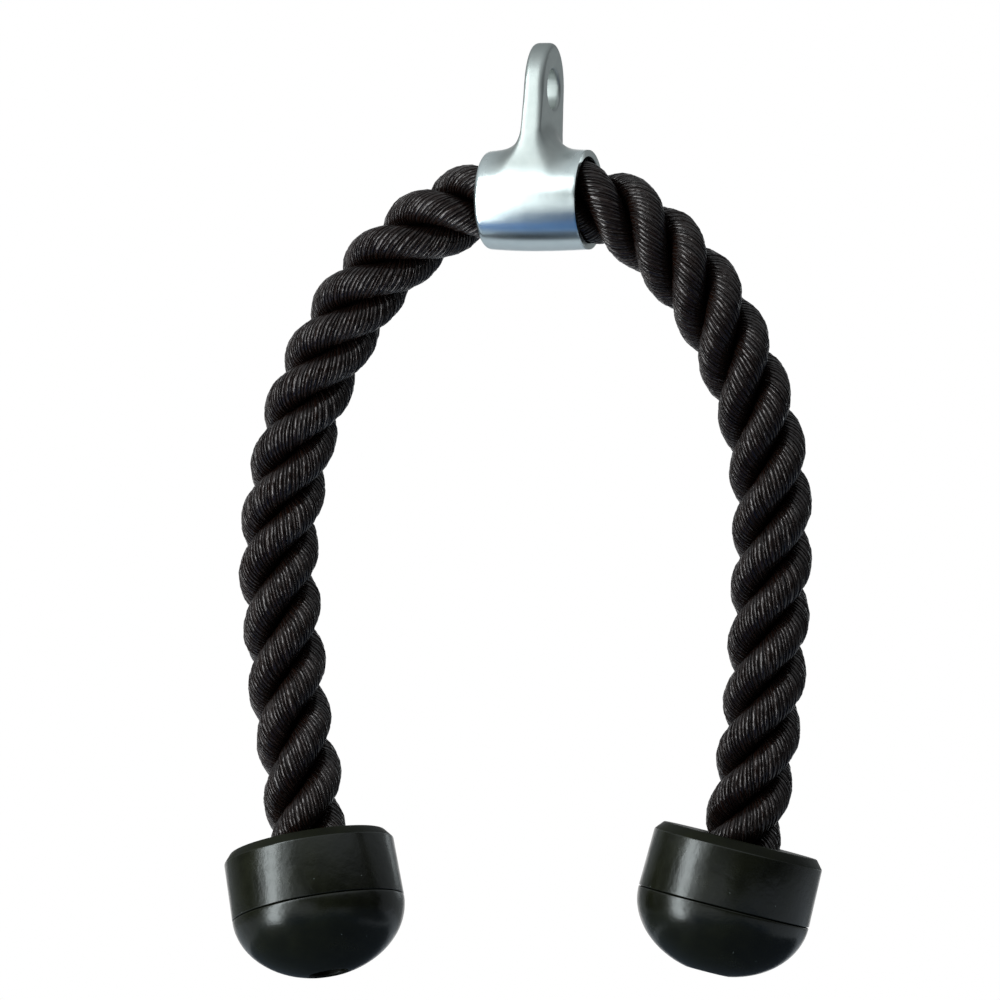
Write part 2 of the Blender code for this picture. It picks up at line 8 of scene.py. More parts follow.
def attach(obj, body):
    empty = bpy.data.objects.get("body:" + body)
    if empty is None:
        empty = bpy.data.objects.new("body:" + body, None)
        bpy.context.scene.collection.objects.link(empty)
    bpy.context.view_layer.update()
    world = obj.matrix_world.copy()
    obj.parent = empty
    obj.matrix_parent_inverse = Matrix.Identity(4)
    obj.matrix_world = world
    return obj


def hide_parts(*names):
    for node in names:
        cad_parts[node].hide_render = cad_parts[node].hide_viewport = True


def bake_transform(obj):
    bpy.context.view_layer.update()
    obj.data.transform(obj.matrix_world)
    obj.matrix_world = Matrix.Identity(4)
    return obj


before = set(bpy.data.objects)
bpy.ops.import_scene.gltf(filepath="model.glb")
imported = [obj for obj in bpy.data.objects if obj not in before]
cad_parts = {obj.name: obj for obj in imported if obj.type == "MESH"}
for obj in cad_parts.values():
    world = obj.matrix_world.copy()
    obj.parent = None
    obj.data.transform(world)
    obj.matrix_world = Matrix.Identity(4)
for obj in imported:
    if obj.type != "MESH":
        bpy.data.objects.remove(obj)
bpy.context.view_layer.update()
bpy.context.scene.view_settings.view_transform = "Standard"
print("frame loaded:", len(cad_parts), "pieces")


def hexColour(code):
    channels = [int(code[i : i + 2], 16) / 255 for i in (1, 3, 5)]
    return (*[c / 12.92 if c <= 0.04045 else ((c + 0.055) / 1.055) ** 2.4 for c in channels], 1)


def addNode(tree, kind, settings=None, links=None):
    # stops are a ramp's places and colours; from and to are the two ends of a map range
    node = tree.nodes.new(kind)
    for key, value in (settings or {}).items():
        if key == "stops":
            for stop, (position, code) in zip(node.color_ramp.elements, value):
                stop.position, stop.color = position, hexColour(code)
        elif key in ("from", "to"):
            for socket, number in zip((" Min", " Max"), value):
                node.inputs[key.title() + socket].default_value = number
        elif isinstance(key, str) and hasattr(node, key):
            setattr(node, key, value)
        else:
            node.inputs[key].default_value = value
    for key, source in (links or {}).items():
        tree.links.new(source, node.inputs[key])
    return node


def newMaterial(name, sockets):
    # what is the same all over the surface is set on the shader's own sockets
    material = bpy.data.materials.new(name)
    material.use_nodes = True
    tree = material.node_tree
    tree.nodes.clear()
    shader = tree.nodes.new("ShaderNodeBsdfPrincipled")
    output = tree.nodes.new("ShaderNodeOutputMaterial")
    tree.links.new(shader.outputs["BSDF"], output.inputs["Surface"])
    for key, value in sockets.items():
        shader.inputs[key].default_value = value
    return material, tree, shader


# The collar's middle: its tube hangs 44.2 mm below the eye, and the ear leans back over it
leanBack = math.radians(9.2)
tubeDrop = 0.0442
collarMiddle = (0.0, -tubeDrop * math.sin(leanBack), -tubeDrop * math.cos(leanBack))

# The camera's place: 18 degrees round to the object's right, level with it and far away
shot = {
    "azimuth": 18.0,
    "distance": 6.0,
    "sensor": 36,
    "pixels": 1000,
    "metresPerPixel": 0.000392,
    "collarPixel": (538.5, 200.0),   # where the collar's middle shows
    "farthest": 40,
}


def setCamera(shot):
    turn = math.radians(shot["azimuth"])
    back = Vector((math.sin(turn), -math.cos(turn), 0))
    right = Vector((math.cos(turn), math.sin(turn), 0))
    px = shot["metresPerPixel"]
    aside, above = (shot["pixels"] / 2 - pixel for pixel in shot["collarPixel"])
    centre = Vector(collarMiddle)
    centre += right * aside * px - Vector((0, 0, 1)) * above * px
    data = bpy.data.cameras.new("photoCamera")
    data.sensor_width = shot["sensor"]
    data.lens = shot["sensor"] * shot["distance"] / (shot["pixels"] * px)
    data.clip_end = shot["farthest"]
    camera = bpy.data.objects.new("photoCamera", data)
    bpy.context.scene.collection.objects.link(camera)
    camera.location = centre + back * shot["distance"]
    camera.rotation_euler = (-back).to_track_quat("-Z", "Y").to_euler()
    bpy.context.scene.camera = camera


setCamera(shot)
print("camera placed")

# The rope is one run of three laid strands, shown as two halves that meet inside the collar
rope = {
    "lay": 0.067,             # one turn of a strand, counted from the notches down both legs
    "strands": 3,
    "turnAtMiddle": 40.0,     # degrees, sets where the notches show
    "strandOut": 0.0091,      # rope axis to strand axis
    "strandRadius": 0.00598,  # to the crease between two yarns
    "yarnRise": 0.00072,      # crown of a yarn above the crease beside it
    "yarns": 16,              # in a strand's outer layer, 1.9 mm apart across the rope
    "yarnTurn": 1.36,         # 1 lays them along the rope at a strand's crown
    "yarnPoints": (0, 0.10, 0.28, 0.50, 0.72, 0.90),   # across a yarn, from its crease to the next
    "step": 0.00104,          # from row to row of points
    "routeStep": 0.0008,
    "sunk": 0.0330,           # how far each end runs down inside its stopper
    "straight": 0.0120,       # the last of that isn't laid
    "wander": (0.36, 0.0080),      # how far a crease strays, in yarn widths, and the length that takes
    "swell": (0.30, 0.0110),       # the same for how a yarn grows thick and thin
    "lift": (0.00012, 0.0065),     # and for how it comes up from its strand
    "halfGap": 0.00015,       # between the two halves
    "pressed": 0.00015,       # half the gap where two strands press on each other
    "leastThird": 0.2,        # radians, for points near the rope's own axis
    "flatFrom": 0.80,         # share of its third at which a strand's flank starts to flatten
    "heart": 0.0036,          # the yarns that fill the middle
    "heartSides": 12,
    "coarse": 3,              # rows to one row of the heart, or to one point of the cord's path
    "bendStart": 0.030,       # from the middle, the ends of a stretch of each half; their points are found, but nothing bends
    "bendEnd": 0.100,
}

# the rope's axis as measured along its curve, from the left stopper to the right one
route = [
    (-0.0953, -0.0010, -0.2525), (-0.0985, 0.0015, -0.2257), (-0.1038, 0.0035, -0.2010),
    (-0.1065, 0.0045, -0.1760), (-0.1090, 0.0050, -0.1510), (-0.1082, 0.0045, -0.1259),
    (-0.1033, 0.0035, -0.1011), (-0.0959, 0.0025, -0.0768), (-0.0846, 0.0015, -0.0540),
    (-0.0702, 0.0005, -0.0326), (-0.0512, 0.0000, -0.0144), (-0.0274, 0.0000, -0.0014),
    (0.0000, 0.0000, 0.0006),
    (0.0205, 0.0000, -0.0004), (0.0345, 0.0000, -0.0056), (0.0479, 0.0000, -0.0157),
    (0.0649, 0.0005, -0.0336), (0.0777, 0.0015, -0.0550), (0.0872, 0.0025, -0.0782),
    (0.0929, 0.0035, -0.1025), (0.0946, 0.0040, -0.1275), (0.0937, 0.0045, -0.1526),
    (0.0924, 0.0045, -0.1777), (0.0901, 0.0045, -0.2026), (0.0865, 0.0045, -0.2275),
    (0.0818, 0.0035, -0.2505),
]
# how the two stoppers hang, in degrees
ends = {"left": {"lean": 12.2, "forward": 7.1}, "right": {"lean": -13.6, "forward": 4.4}}
for end in ends.values():
    lean, forward = math.radians(end["lean"]), math.radians(end["forward"])
    end["down"] = np.array([
        math.sin(lean) * math.cos(forward), -math.sin(forward), -math.cos(lean) * math.cos(forward)
    ])


def smoothRoute(points, firstWay, lastWay, step):
    # cubic through the points with a set direction at both ends
    knots = np.concatenate([[0], np.cumsum(np.linalg.norm(np.diff(points, axis=0), axis=1))])
    spans = np.diff(knots)[:, None]
    slopes = np.diff(points, axis=0) / spans
    count = len(points)
    system, right = np.zeros((count, count)), np.zeros((count, 3))
    system[0, 0] = system[-1, -1] = 1
    right[0], right[-1] = firstWay, lastWay
    for row in range(1, count - 1):
        before, after = spans[row - 1, 0], spans[row, 0]
        system[row, row - 1 : row + 2] = after, 2 * (before + after), before
        right[row] = 3 * (after * slopes[row - 1] + before * slopes[row])
    ways = np.linalg.solve(system, right)
    sampled = []
    for i in range(count - 1):
        steps = max(1, math.ceil(spans[i, 0] / step))
        t = (np.arange(steps) / steps)[:, None]
        sampled.append(
            (2 * t**3 - 3 * t**2 + 1) * points[i] + (t**3 - 2 * t**2 + t) * spans[i] * ways[i]
            + (3 * t**2 - 2 * t**3) * points[i + 1] + (t**3 - t**2) * spans[i] * ways[i + 1]
        )
    return np.vstack(sampled + [points[-1:]])


def layRope(rope, route, ends):
    free = smoothRoute(
        np.array(route) + collarMiddle, -ends["left"]["down"], ends["right"]["down"], rope["routeStep"]
    )
    ends["left"]["top"], ends["right"]["top"] = free[0], free[-1]
    steps = math.ceil(rope["sunk"] / rope["routeStep"])
    sunk = (np.arange(1, steps + 1) / steps * rope["sunk"])[:, None]
    points = np.vstack([
        free[0] + sunk[::-1] * ends["left"]["down"], free, free[-1] + sunk * ends["right"]["down"]
    ])
    runs = np.concatenate([[0], np.cumsum(np.linalg.norm(np.diff(points, axis=0), axis=1))])
    ways = np.gradient(points, runs, axis=0)
    ways /= np.linalg.norm(ways, axis=1)[:, None]
    sides = [np.cross(ways[0], [0, 1, 0])]
    for way in ways:
        side = sides[-1] - way * (sides[-1] @ way)
        sides.append(side / np.linalg.norm(side))
    sides = np.array(sides[1:])
    return {
        "points": points, "runs": runs, "sides": sides, "across": np.cross(ways, sides),
        "length": float(runs[-1]), "middle": float(np.interp(0, points[:, 0], runs)),
    }


def alongLine(line, key, at):
    return np.stack([np.interp(at, line["runs"], line[key][:, k]) for k in range(3)], axis=1)


def softLimit(share, knee):
    # keeps a strand's flank inside its third of the rope, where its neighbours press it flat
    size = np.abs(share)
    bent = np.where(size > knee, knee + (1 - knee) * np.tanh((size - knee) / (1 - knee)), size)
    return np.sign(share) * bent


def smoothRandom(seed, count, at, amount, period):
    # one smooth random line for each of count yarns, read at the given runs
    dice = np.random.default_rng(seed)
    knots = np.arange(math.ceil(at.max() / period) + 3)
    values = dice.uniform(-1, 1, (len(knots), count))
    place = at / period
    low = np.floor(place).astype(int)
    t = (place - low)[:, None]
    t = t * t * (3 - 2 * t)
    return amount * (values[low] * (1 - t) + values[low + 1] * t)


def strandTurn(rope, line, run, index):
    wound = np.clip(run, rope["straight"], line["length"] - rope["straight"]) - line["middle"]
    turns = wound / rope["lay"] + index / rope["strands"]
    return 2 * math.pi * turns + math.radians(rope["turnAtMiddle"])


def strandSurface(rope, line, at, index):
    # yarn by yarn round a strand wound on a straight rope, which is then bent along the line
    out, yarns = rope["strandOut"], rope["yarns"]
    turn = strandTurn(rope, line, at, index)
    outward = np.stack([np.cos(turn), np.sin(turn), 0 * at], axis=1)
    centre = outward * out + np.stack([0 * at, 0 * at, at], axis=1)
    along = np.gradient(centre, at, axis=0)
    along /= np.linalg.norm(along, axis=1)[:, None]
    sideways = np.cross(along, outward)
    pitch = 2 * math.pi / rope["lay"]
    reach = out + rope["strandRadius"] + rope["yarnRise"]
    spin = pitch * reach / (reach - out) * math.hypot(1, pitch * out) * rope["yarnTurn"]
    shares = np.array(rope["yarnPoints"])
    rises = np.sqrt(1 - (2 * shares - 1) ** 2)
    stray = smoothRandom(10 + index, yarns, at, *rope["wander"])
    swell = 1 + smoothRandom(20 + index, yarns, at, *rope["swell"])
    lift = smoothRandom(30 + index, yarns, at, *rope["lift"])
    following = np.roll(stray, -1, axis=1) + 1
    crease = np.arange(yarns)[None, :]
    across = crease[:, :, None] + stray[:, :, None] + (following - stray)[:, :, None] * shares
    rise = rope["yarnRise"] * swell[:, :, None] * rises + lift[:, :, None] * rises
    across, rise = across.reshape(len(at), -1), rise.reshape(len(at), -1)
    angle = 2 * math.pi * across / yarns - spin * (at - line["middle"])[:, None]
    radius = (rope["strandRadius"] + rise)[:, :, None]
    place = centre[:, None, :] + radius * (
        np.cos(angle)[:, :, None] * outward[:, None, :]
        + np.sin(angle)[:, :, None] * sideways[:, None, :]
    )
    height = place[:, :, 2]
    far = np.hypot(place[:, :, 0], place[:, :, 1])
    middleTurn = strandTurn(rope, line, height, index)
    off = np.arctan2(place[:, :, 1], place[:, :, 0]) - middleTurn
    off = (off + math.pi) % (2 * math.pi) - math.pi
    limit = np.maximum(math.pi / rope["strands"] - rope["pressed"] / far, rope["leastThird"])
    off = softLimit(off / limit, rope["flatFrom"]) * limit
    x, y = far * np.cos(middleTurn + off), far * np.sin(middleTurn + off)
    flat = height.ravel()
    spot = (
        alongLine(line, "points", flat)
        + x.reshape(-1, 1) * alongLine(line, "sides", flat)
        + y.reshape(-1, 1) * alongLine(line, "across", flat)
    )
    return spot.reshape(*height.shape, 3), np.tile(
        np.arange(yarns)[:, None] + shares, (len(at), 1, 1)
    ).reshape(len(at), -1)


def tubeFaces(rows, columns, start):
    # the four-sided faces of a tube whose points run row by row, and each face's row and columns
    row, column = np.meshgrid(np.arange(rows - 1), np.arange(columns), indexing="ij")
    after = (column + 1) % columns
    corners = [row * columns + column, row * columns + after,
               (row + 1) * columns + after, (row + 1) * columns + column]
    return (np.stack(corners, axis=-1).reshape(-1, 4) + start).tolist(), row, column, after


def makeRopeHalf(rope, line, side, material, inner):
    low, high = (0, line["middle"] - rope["halfGap"]) if side == "left" else (
        line["middle"] + rope["halfGap"], line["length"]
    )
    at = np.linspace(low, high, math.ceil((high - low) / rope["step"]) + 1)
    vertices, faces, mapped = [], [], []
    start = 0
    for index in range(rope["strands"]):
        place, yarn = strandSurface(rope, line, at, index)
        rows, columns = place.shape[:2]
        vertices += [place.reshape(-1, 3), place[0].mean(0)[None], place[-1].mean(0)[None]]
        tube, row, column, after = tubeFaces(rows, columns, start)
        faces += tube
        # the map counts yarns across, with room between the strands, and millimetres along
        here, there = yarn[0][column], np.where(column == columns - 1, rope["yarns"], yarn[0][after])
        u = np.stack([here, there, there, here], axis=-1).reshape(-1, 4)
        v = np.stack([at[row], at[row], at[row + 1], at[row + 1]], axis=-1).reshape(-1, 4) * 1000
        mapped.append(np.stack([u + 40 * index, v], axis=-1).reshape(-1, 2))
        for row, centre, flip in ((0, rows * columns, True), (rows - 1, rows * columns + 1, False)):
            for column in range(columns):
                one, two = row * columns + column, row * columns + (column + 1) % columns
                faces.append([start + k for k in ((centre, two, one) if flip else (centre, one, two))])
            mapped.append(np.zeros((columns * 3, 2)))
        start += rows * columns + 2
    heart = at[::rope["coarse"]]
    ring = np.arange(rope["heartSides"]) * 2 * math.pi / rope["heartSides"]
    rows, columns = len(heart), len(ring)
    centres = alongLine(line, "points", heart)[:, None, :]
    vertices.append((centres + rope["heart"] * (
        np.cos(ring)[None, :, None] * alongLine(line, "sides", heart)[:, None, :]
        + np.sin(ring)[None, :, None] * alongLine(line, "across", heart)[:, None, :]
    )).reshape(-1, 3))
    faces += tubeFaces(rows, columns, start)[0]
    cap = start + np.arange(columns)
    faces += [cap[::-1].tolist(), (cap + (rows - 1) * columns).tolist()]
    mapped.append(np.zeros(((rows - 1) * columns * 4 + 2 * columns, 2)))
    mesh = bpy.data.meshes.new("rope_" + side)
    mesh.from_pydata(np.vstack(vertices).tolist(), [], faces)
    layer = mesh.uv_layers.new(name="yarns")
    layer.data.foreach_set("uv", np.vstack(mapped).astype(np.float32).ravel())
    mesh.shade_smooth()
    mesh.materials.append(material)
    # the heart's darker, duller copy of the yarn: painted shade
    mesh.materials.append(inner)
    heartFaces = (rows - 1) * columns + 2
    mesh.polygons.foreach_set("material_index", [0] * (len(faces) - heartFaces) + [1] * heartFaces)
    half = bpy.data.objects.new("rope_" + side, mesh)
    bpy.context.scene.collection.objects.link(half)
    way = -1 if side == "left" else 1
    start, stop = alongLine(
        line, "points", line["middle"] + way * np.array([rope["bendStart"], rope["bendEnd"]])
    )
    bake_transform(half)
    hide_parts("rope_strand_a", "rope_strand_b", "rope_strand_c")
    return half


# Nylon 6 continuous-filament yarn, solution-dyed black: bundles of fine glossy filaments that catch the
# light in short broken glints along each yarn, with black creases between yarns
yarnLook = {
    "tones": ((0.35, "#050202"), (0.95, "#180b06")),
    "toneByYarn": 0.35,            # how much one yarn differs from the next
    "filamentAcross": 4.5,         # bundles of filaments across a yarn
    "filamentSlant": 0.30,         # how they cross it, and how fast they change, in a millimetre
    "filamentAlong": 0.34,
    "tangleAcross": 1.6,           # knots of tangled filaments 1 to 2 mm long
    "tangleAlong": 0.45,
    "tangleScale": 1.2,
    "crease": (0.02, 0.32),        # from the crease up to the crown, in yarn widths
    "creaseRough": 0.60,
    "crownRough": (0.26, 0.05),    # over the range of the tangle's noise that follows
    "tangleRange": (0.38, 0.62),
    "crownHeight": 1.3, "tangleHeight": 2.6, "bump": 0.00019,   # heights counted against a filament's
    "glintTint": (1.0, 0.92, 0.91, 1.0),
}


def blackNylon(look):
    material, tree, shader = newMaterial("blackNylonYarn", {"IOR": 1.50, "Specular Tint": look["glintTint"]})
    # one unit of the map is a yarn 1.9 mm wide across, and a millimetre of rope along
    place = addNode(tree, "ShaderNodeUVMap", {"uv_map": "yarns"})
    split = addNode(tree, "ShaderNodeSeparateXYZ", links={"Vector": place.outputs["UV"]})
    across, along = split.outputs["X"], split.outputs["Y"]
    yarn = addNode(tree, "ShaderNodeMath", {"operation": "FLOOR"}, {0: across})
    dice = addNode(tree, "ShaderNodeTexWhiteNoise", {"noise_dimensions": "1D"}, {"W": yarn.outputs[0]})
    around = addNode(tree, "ShaderNodeMath", {"operation": "MULTIPLY", 1: look["filamentAcross"]}, {0: across})
    slant = addNode(tree, "ShaderNodeMath", {"operation": "MULTIPLY_ADD", 1: look["filamentSlant"]}, {
        0: along, 2: around.outputs[0],
    })
    drawn = addNode(tree, "ShaderNodeMath", {"operation": "MULTIPLY", 1: look["filamentAlong"]}, {0: along})
    fibre = addNode(tree, "ShaderNodeCombineXYZ", links={
        "X": slant.outputs[0], "Y": drawn.outputs[0], "Z": dice.outputs["Value"],
    })
    filament = addNode(tree, "ShaderNodeTexNoise", {"Scale": 1.0, "Detail": 1.0, "Roughness": 0.5}, {
        "Vector": fibre.outputs[0],
    })
    # the knots break the glints
    wide = addNode(tree, "ShaderNodeMath", {"operation": "MULTIPLY", 1: look["tangleAcross"]}, {0: across})
    long = addNode(tree, "ShaderNodeMath", {"operation": "MULTIPLY", 1: look["tangleAlong"]}, {0: along})
    tangle = addNode(tree, "ShaderNodeCombineXYZ", links={
        "X": wide.outputs[0], "Y": long.outputs[0], "Z": dice.outputs["Value"],
    })
    breaks = addNode(tree, "ShaderNodeTexNoise", {"Scale": look["tangleScale"], "Detail": 2.0, "Roughness": 0.5}, {
        "Vector": tangle.outputs[0],
    })
    tone = addNode(tree, "ShaderNodeMath", {"operation": "MULTIPLY_ADD", 1: look["toneByYarn"]}, {
        0: dice.outputs["Value"], 2: filament.outputs["Fac"],
    })
    ramp = addNode(tree, "ShaderNodeValToRGB", {"stops": look["tones"]}, {"Fac": tone.outputs[0]})
    tree.links.new(ramp.outputs["Color"], shader.inputs["Base Color"])
    # a crease between each yarn and the next is rough, and only the crowns glint
    fromEdge = addNode(tree, "ShaderNodeMath", {"operation": "PINGPONG", 1: 0.5}, {0: across})
    crest = addNode(tree, "ShaderNodeMapRange", {
        "interpolation_type": "SMOOTHSTEP", "from": look["crease"],
    }, {"Value": fromEdge.outputs[0]})
    gloss = addNode(tree, "ShaderNodeMapRange", {"from": look["tangleRange"], "to": look["crownRough"]}, {
        "Value": breaks.outputs["Fac"],
    })
    dulled = addNode(tree, "ShaderNodeMix", {"data_type": "FLOAT", 2: look["creaseRough"]}, {
        0: crest.outputs[0], 3: gloss.outputs[0],
    })
    tree.links.new(dulled.outputs[0], shader.inputs["Roughness"])
    grain = addNode(tree, "ShaderNodeMath", {"operation": "MULTIPLY_ADD", 1: look["tangleHeight"]}, {
        0: breaks.outputs["Fac"], 2: filament.outputs["Fac"],
    })
    height = addNode(tree, "ShaderNodeMath", {"operation": "MULTIPLY_ADD", 1: look["crownHeight"]}, {
        0: crest.outputs[0], 2: grain.outputs[0],
    })
    bump = addNode(tree, "ShaderNodeBump", {"Strength": 1.0, "Distance": look["bump"]}, {
        "Height": height.outputs[0],
    })
    tree.links.new(bump.outputs[0], shader.inputs["Normal"])
    return material


# The rope's heart, which no light reaches: a darker, duller copy of the yarn, painted shade in the gaps between
# the strands
shadedHeartYarn, *_ = newMaterial("blackNylonHeartShade", {
    "Base Color": hexColour("#020101"), "Roughness": 1.0, "IOR": 1.2,
})

line = layRope(rope, route, ends)
nylon = blackNylon(yarnLook)
ropeHalves = [makeRopeHalf(rope, line, side, nylon, shadedHeartYarn) for side in ("left", "right")]
print("rope laid:", round(line["length"], 4), "m,", sum(len(h.data.polygons) for h in ropeHalves), "faces")


sharpFrom = math.radians(28)     # a turned edge that bends more than this is rounded
smoothUpTo = math.radians(32)


def deselectAll():
    bpy.ops.object.select_all(action="DESELECT")


def applyPlace(piece):
    deselectAll()
    piece.select_set(True)
    bpy.context.view_layer.objects.active = piece
    bpy.ops.object.transform_apply(location=True, rotation=True, scale=True)


def finishModifiers(piece):
    bpy.context.view_layer.objects.active = piece
    for modifier in list(piece.modifiers):
        bpy.ops.object.modifier_apply(modifier=modifier.name)


def turnPiece(name, rings, around, edge=0):
    # a circle drawn out ring by ring along the profile, closed on itself, and given rounded edges when an edge
    # width is set
    deselectAll()
    bpy.ops.mesh.primitive_circle_add(vertices=around, radius=rings[0][0], location=(0, 0, rings[0][1]))
    piece = bpy.context.object
    piece.name = piece.data.name = name
    bpy.ops.object.transform_apply(location=True, rotation=True, scale=True)
    bpy.ops.object.mode_set(mode="EDIT")
    bpy.ops.mesh.select_all(action="SELECT")
    for (oldRadius, oldHeight), (radius, height) in zip(rings, rings[1:]):
        wider = radius / oldRadius
        bpy.ops.mesh.extrude_region_move(TRANSFORM_OT_translate={"value": (0, 0, height - oldHeight)})
        bpy.ops.transform.resize(value=(wider, wider, 1), center_override=(0, 0, height))
    bpy.ops.mesh.select_all(action="DESELECT")
    bpy.ops.mesh.select_mode(type="EDGE")
    bpy.ops.mesh.select_non_manifold()
    bpy.ops.mesh.bridge_edge_loops()
    bpy.ops.mesh.select_all(action="SELECT")
    bpy.ops.mesh.normals_make_consistent(inside=False)
    bpy.ops.object.mode_set(mode="OBJECT")
    if edge:
        bevel = piece.modifiers.new("mouldedEdges", "BEVEL")
        bevel.limit_method, bevel.angle_limit = "ANGLE", sharpFrom
        bevel.width, bevel.segments = edge, 3
        finishModifiers(piece)
    bpy.ops.object.shade_smooth_by_angle(angle=smoothUpTo)
    return piece


def placePiece(piece, end):
    # keeps each point's place on the bench for the material, then moves the mesh to the rope's end
    own = piece.data.attributes.new("ownPlace", "FLOAT_VECTOR", "POINT")
    spots = np.zeros(len(piece.data.vertices) * 3, np.float32)
    piece.data.vertices.foreach_get("co", spots)
    own.data.foreach_set("vector", spots)
    turn = Vector((0, 0, -1)).rotation_difference(Vector(end["down"])).to_matrix().to_4x4()
    piece.matrix_world = Matrix.Translation(end["top"]) @ turn
    applyPlace(piece)


# a stopper stands upright at first: heights count down from its flat top, where the rope enters
stopper = {
    "seamRadius": 0.03425, "topRadius": 0.03375,
    "chamferHeight": 0.0036, "chamferWidth": 0.0030,
    "seam": -0.0265, "seamGap": 0.0003,
    "throat": 0.0160, "throatDepth": 0.0090, "leadIn": 0.0010,
    "cavity": 0.0215, "spigotWall": 0.0060, "spigotHeight": 0.0050,
    "domeDepth": 0.0270, "domeSteps": 30,
    "hole": 0.00775, "holeDepth": 0.0085, "holeLip": 0.0006,
    "screwClear": 0.0023, "floor": -0.0391,
    "around": 128, "edge": 0.00045,
    "topFrom": 0.5,           # a face that looks up more than this gets the painted-shade copy of the rubber
}


def upperShellRings(s):
    rebate = s["cavity"] + s["spigotWall"] + s["seamGap"]
    return [
        (s["throat"] + s["leadIn"], 0), (s["topRadius"] - s["chamferWidth"], 0),
        (s["topRadius"], -s["chamferHeight"]), (s["seamRadius"], s["seam"]),
        (rebate, s["seam"]), (rebate, s["seam"] + s["spigotHeight"]),
        (s["cavity"], s["seam"] + s["spigotHeight"]), (s["cavity"], -s["throatDepth"]),
        (s["throat"], -s["throatDepth"]), (s["throat"], -s["leadIn"]),
    ]


def domeRings(s):
    top = s["seam"] - s["seamGap"]
    mouth = s["hole"] + s["holeLip"]
    stop = math.acos(mouth / s["seamRadius"])
    rings = []
    for step in range(s["domeSteps"] + 1):
        angle = stop * step / s["domeSteps"]
        rings.append((s["seamRadius"] * math.cos(angle), top - s["domeDepth"] * math.sin(angle)))
    mouthHeight = rings[-1][1]
    floor = mouthHeight + s["holeDepth"]
    spigot, spigotTop = s["cavity"] + s["spigotWall"], s["seam"] + s["spigotHeight"] - s["seamGap"]
    return rings + [
        (s["hole"], mouthHeight + s["holeLip"]), (s["hole"], floor), (s["screwClear"], floor),
        (s["screwClear"], s["floor"]), (s["cavity"], s["floor"]), (s["cavity"], spigotTop),
        (spigot, spigotTop), (spigot, top),
    ]


# Black SBR rubber, compression-moulded in a polished tool: a semi-gloss skin with a faint grain, a soft
# window of light on its left, and a greenish cast where it looks grey
rubberLook = {
    "tones": ((0.30, "#090a03"), (0.75, "#141507")),
    "bloomScale": 110.0,      # cloudy bloom about 9 mm across
    "grainScale": 2000.0,     # grain 0.5 mm across
    "grainHeight": 0.05,
    "dustScale": 260.0,       # pale specks of dust up to 0.4 mm across, about one to 7 square centimetres
    "dustSize": 0.055, "dustAbove": 0.80, "dustTone": "#6d756f",
    "rough": (0.21, 0.29), "roughRange": (0.30, 0.75),
    "bumpStrength": 0.8, "bump": 0.00035,
}


def mouldedRubber(look, name, dullness, index):
    material, tree, shader = newMaterial(name, {"IOR": index})
    place = addNode(tree, "ShaderNodeAttribute", {"attribute_name": "ownPlace"}).outputs["Vector"]
    bloom = addNode(tree, "ShaderNodeTexNoise", {
        "Scale": look["bloomScale"], "Detail": 4.0, "Roughness": 0.6,
    }, {"Vector": place})
    grain = addNode(tree, "ShaderNodeTexNoise", {"Scale": look["grainScale"], "Detail": 2.0}, {"Vector": place})
    ramp = addNode(tree, "ShaderNodeValToRGB", {"stops": look["tones"]}, {"Fac": bloom.outputs["Fac"]})
    cells = addNode(tree, "ShaderNodeTexVoronoi", {"Scale": look["dustScale"]}, {"Vector": place})
    speck = addNode(tree, "ShaderNodeMath", {"operation": "LESS_THAN", 1: look["dustSize"]}, {
        0: cells.outputs["Distance"],
    })
    chosen = addNode(tree, "ShaderNodeMath", {"operation": "GREATER_THAN", 1: look["dustAbove"]}, {
        0: addNode(tree, "ShaderNodeSeparateColor", links={"Color": cells.outputs["Color"]}).outputs[0],
    })
    dust = addNode(tree, "ShaderNodeMath", {"operation": "MULTIPLY"}, {0: speck.outputs[0], 1: chosen.outputs[0]})
    dusty = addNode(tree, "ShaderNodeMix", {"data_type": "RGBA", 7: hexColour(look["dustTone"])}, {
        0: dust.outputs[0], 6: ramp.outputs["Color"],
    })
    tree.links.new(dusty.outputs[2], shader.inputs["Base Color"])
    gloss = addNode(tree, "ShaderNodeMapRange", {
        "from": look["roughRange"], "to": [rough + dullness for rough in look["rough"]],
    }, {"Value": bloom.outputs["Fac"]})
    tree.links.new(gloss.outputs[0], shader.inputs["Roughness"])
    skin = addNode(tree, "ShaderNodeMath", {"operation": "MULTIPLY_ADD", 1: look["grainHeight"]}, {
        0: grain.outputs["Fac"], 2: bloom.outputs["Fac"],
    })
    bump = addNode(tree, "ShaderNodeBump", {"Strength": look["bumpStrength"], "Distance": look["bump"]}, {
        "Height": skin.outputs[0],
    })
    tree.links.new(bump.outputs[0], shader.inputs["Normal"])
    return material


rubber = mouldedRubber(rubberLook, "mouldedBlackRubber", 0.0, 1.48)
# the flat top and its chamfer get a rougher copy of the rubber that reflects less: painted shade on the faces that
# look up
shadedTopRubber = mouldedRubber(rubberLook, "shadedTopBlackRubber", 0.25, 1.20)
for side, end in ends.items():
    for part, rings in (("upper_shell", upperShellRings(stopper)), ("dome", domeRings(stopper))):
        piece = turnPiece(side + "_" + part + "_moulding", rings, stopper["around"], stopper["edge"])
        piece.data.materials.append(rubber)
        piece.data.materials.append(shadedTopRubber)
        for face in piece.data.polygons:
            face.material_index = int(face.normal.z > stopper["topFrom"])
        placePiece(piece, end)
        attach(piece, side + "_end")
        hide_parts(side + "_" + part)
print("stoppers moulded")


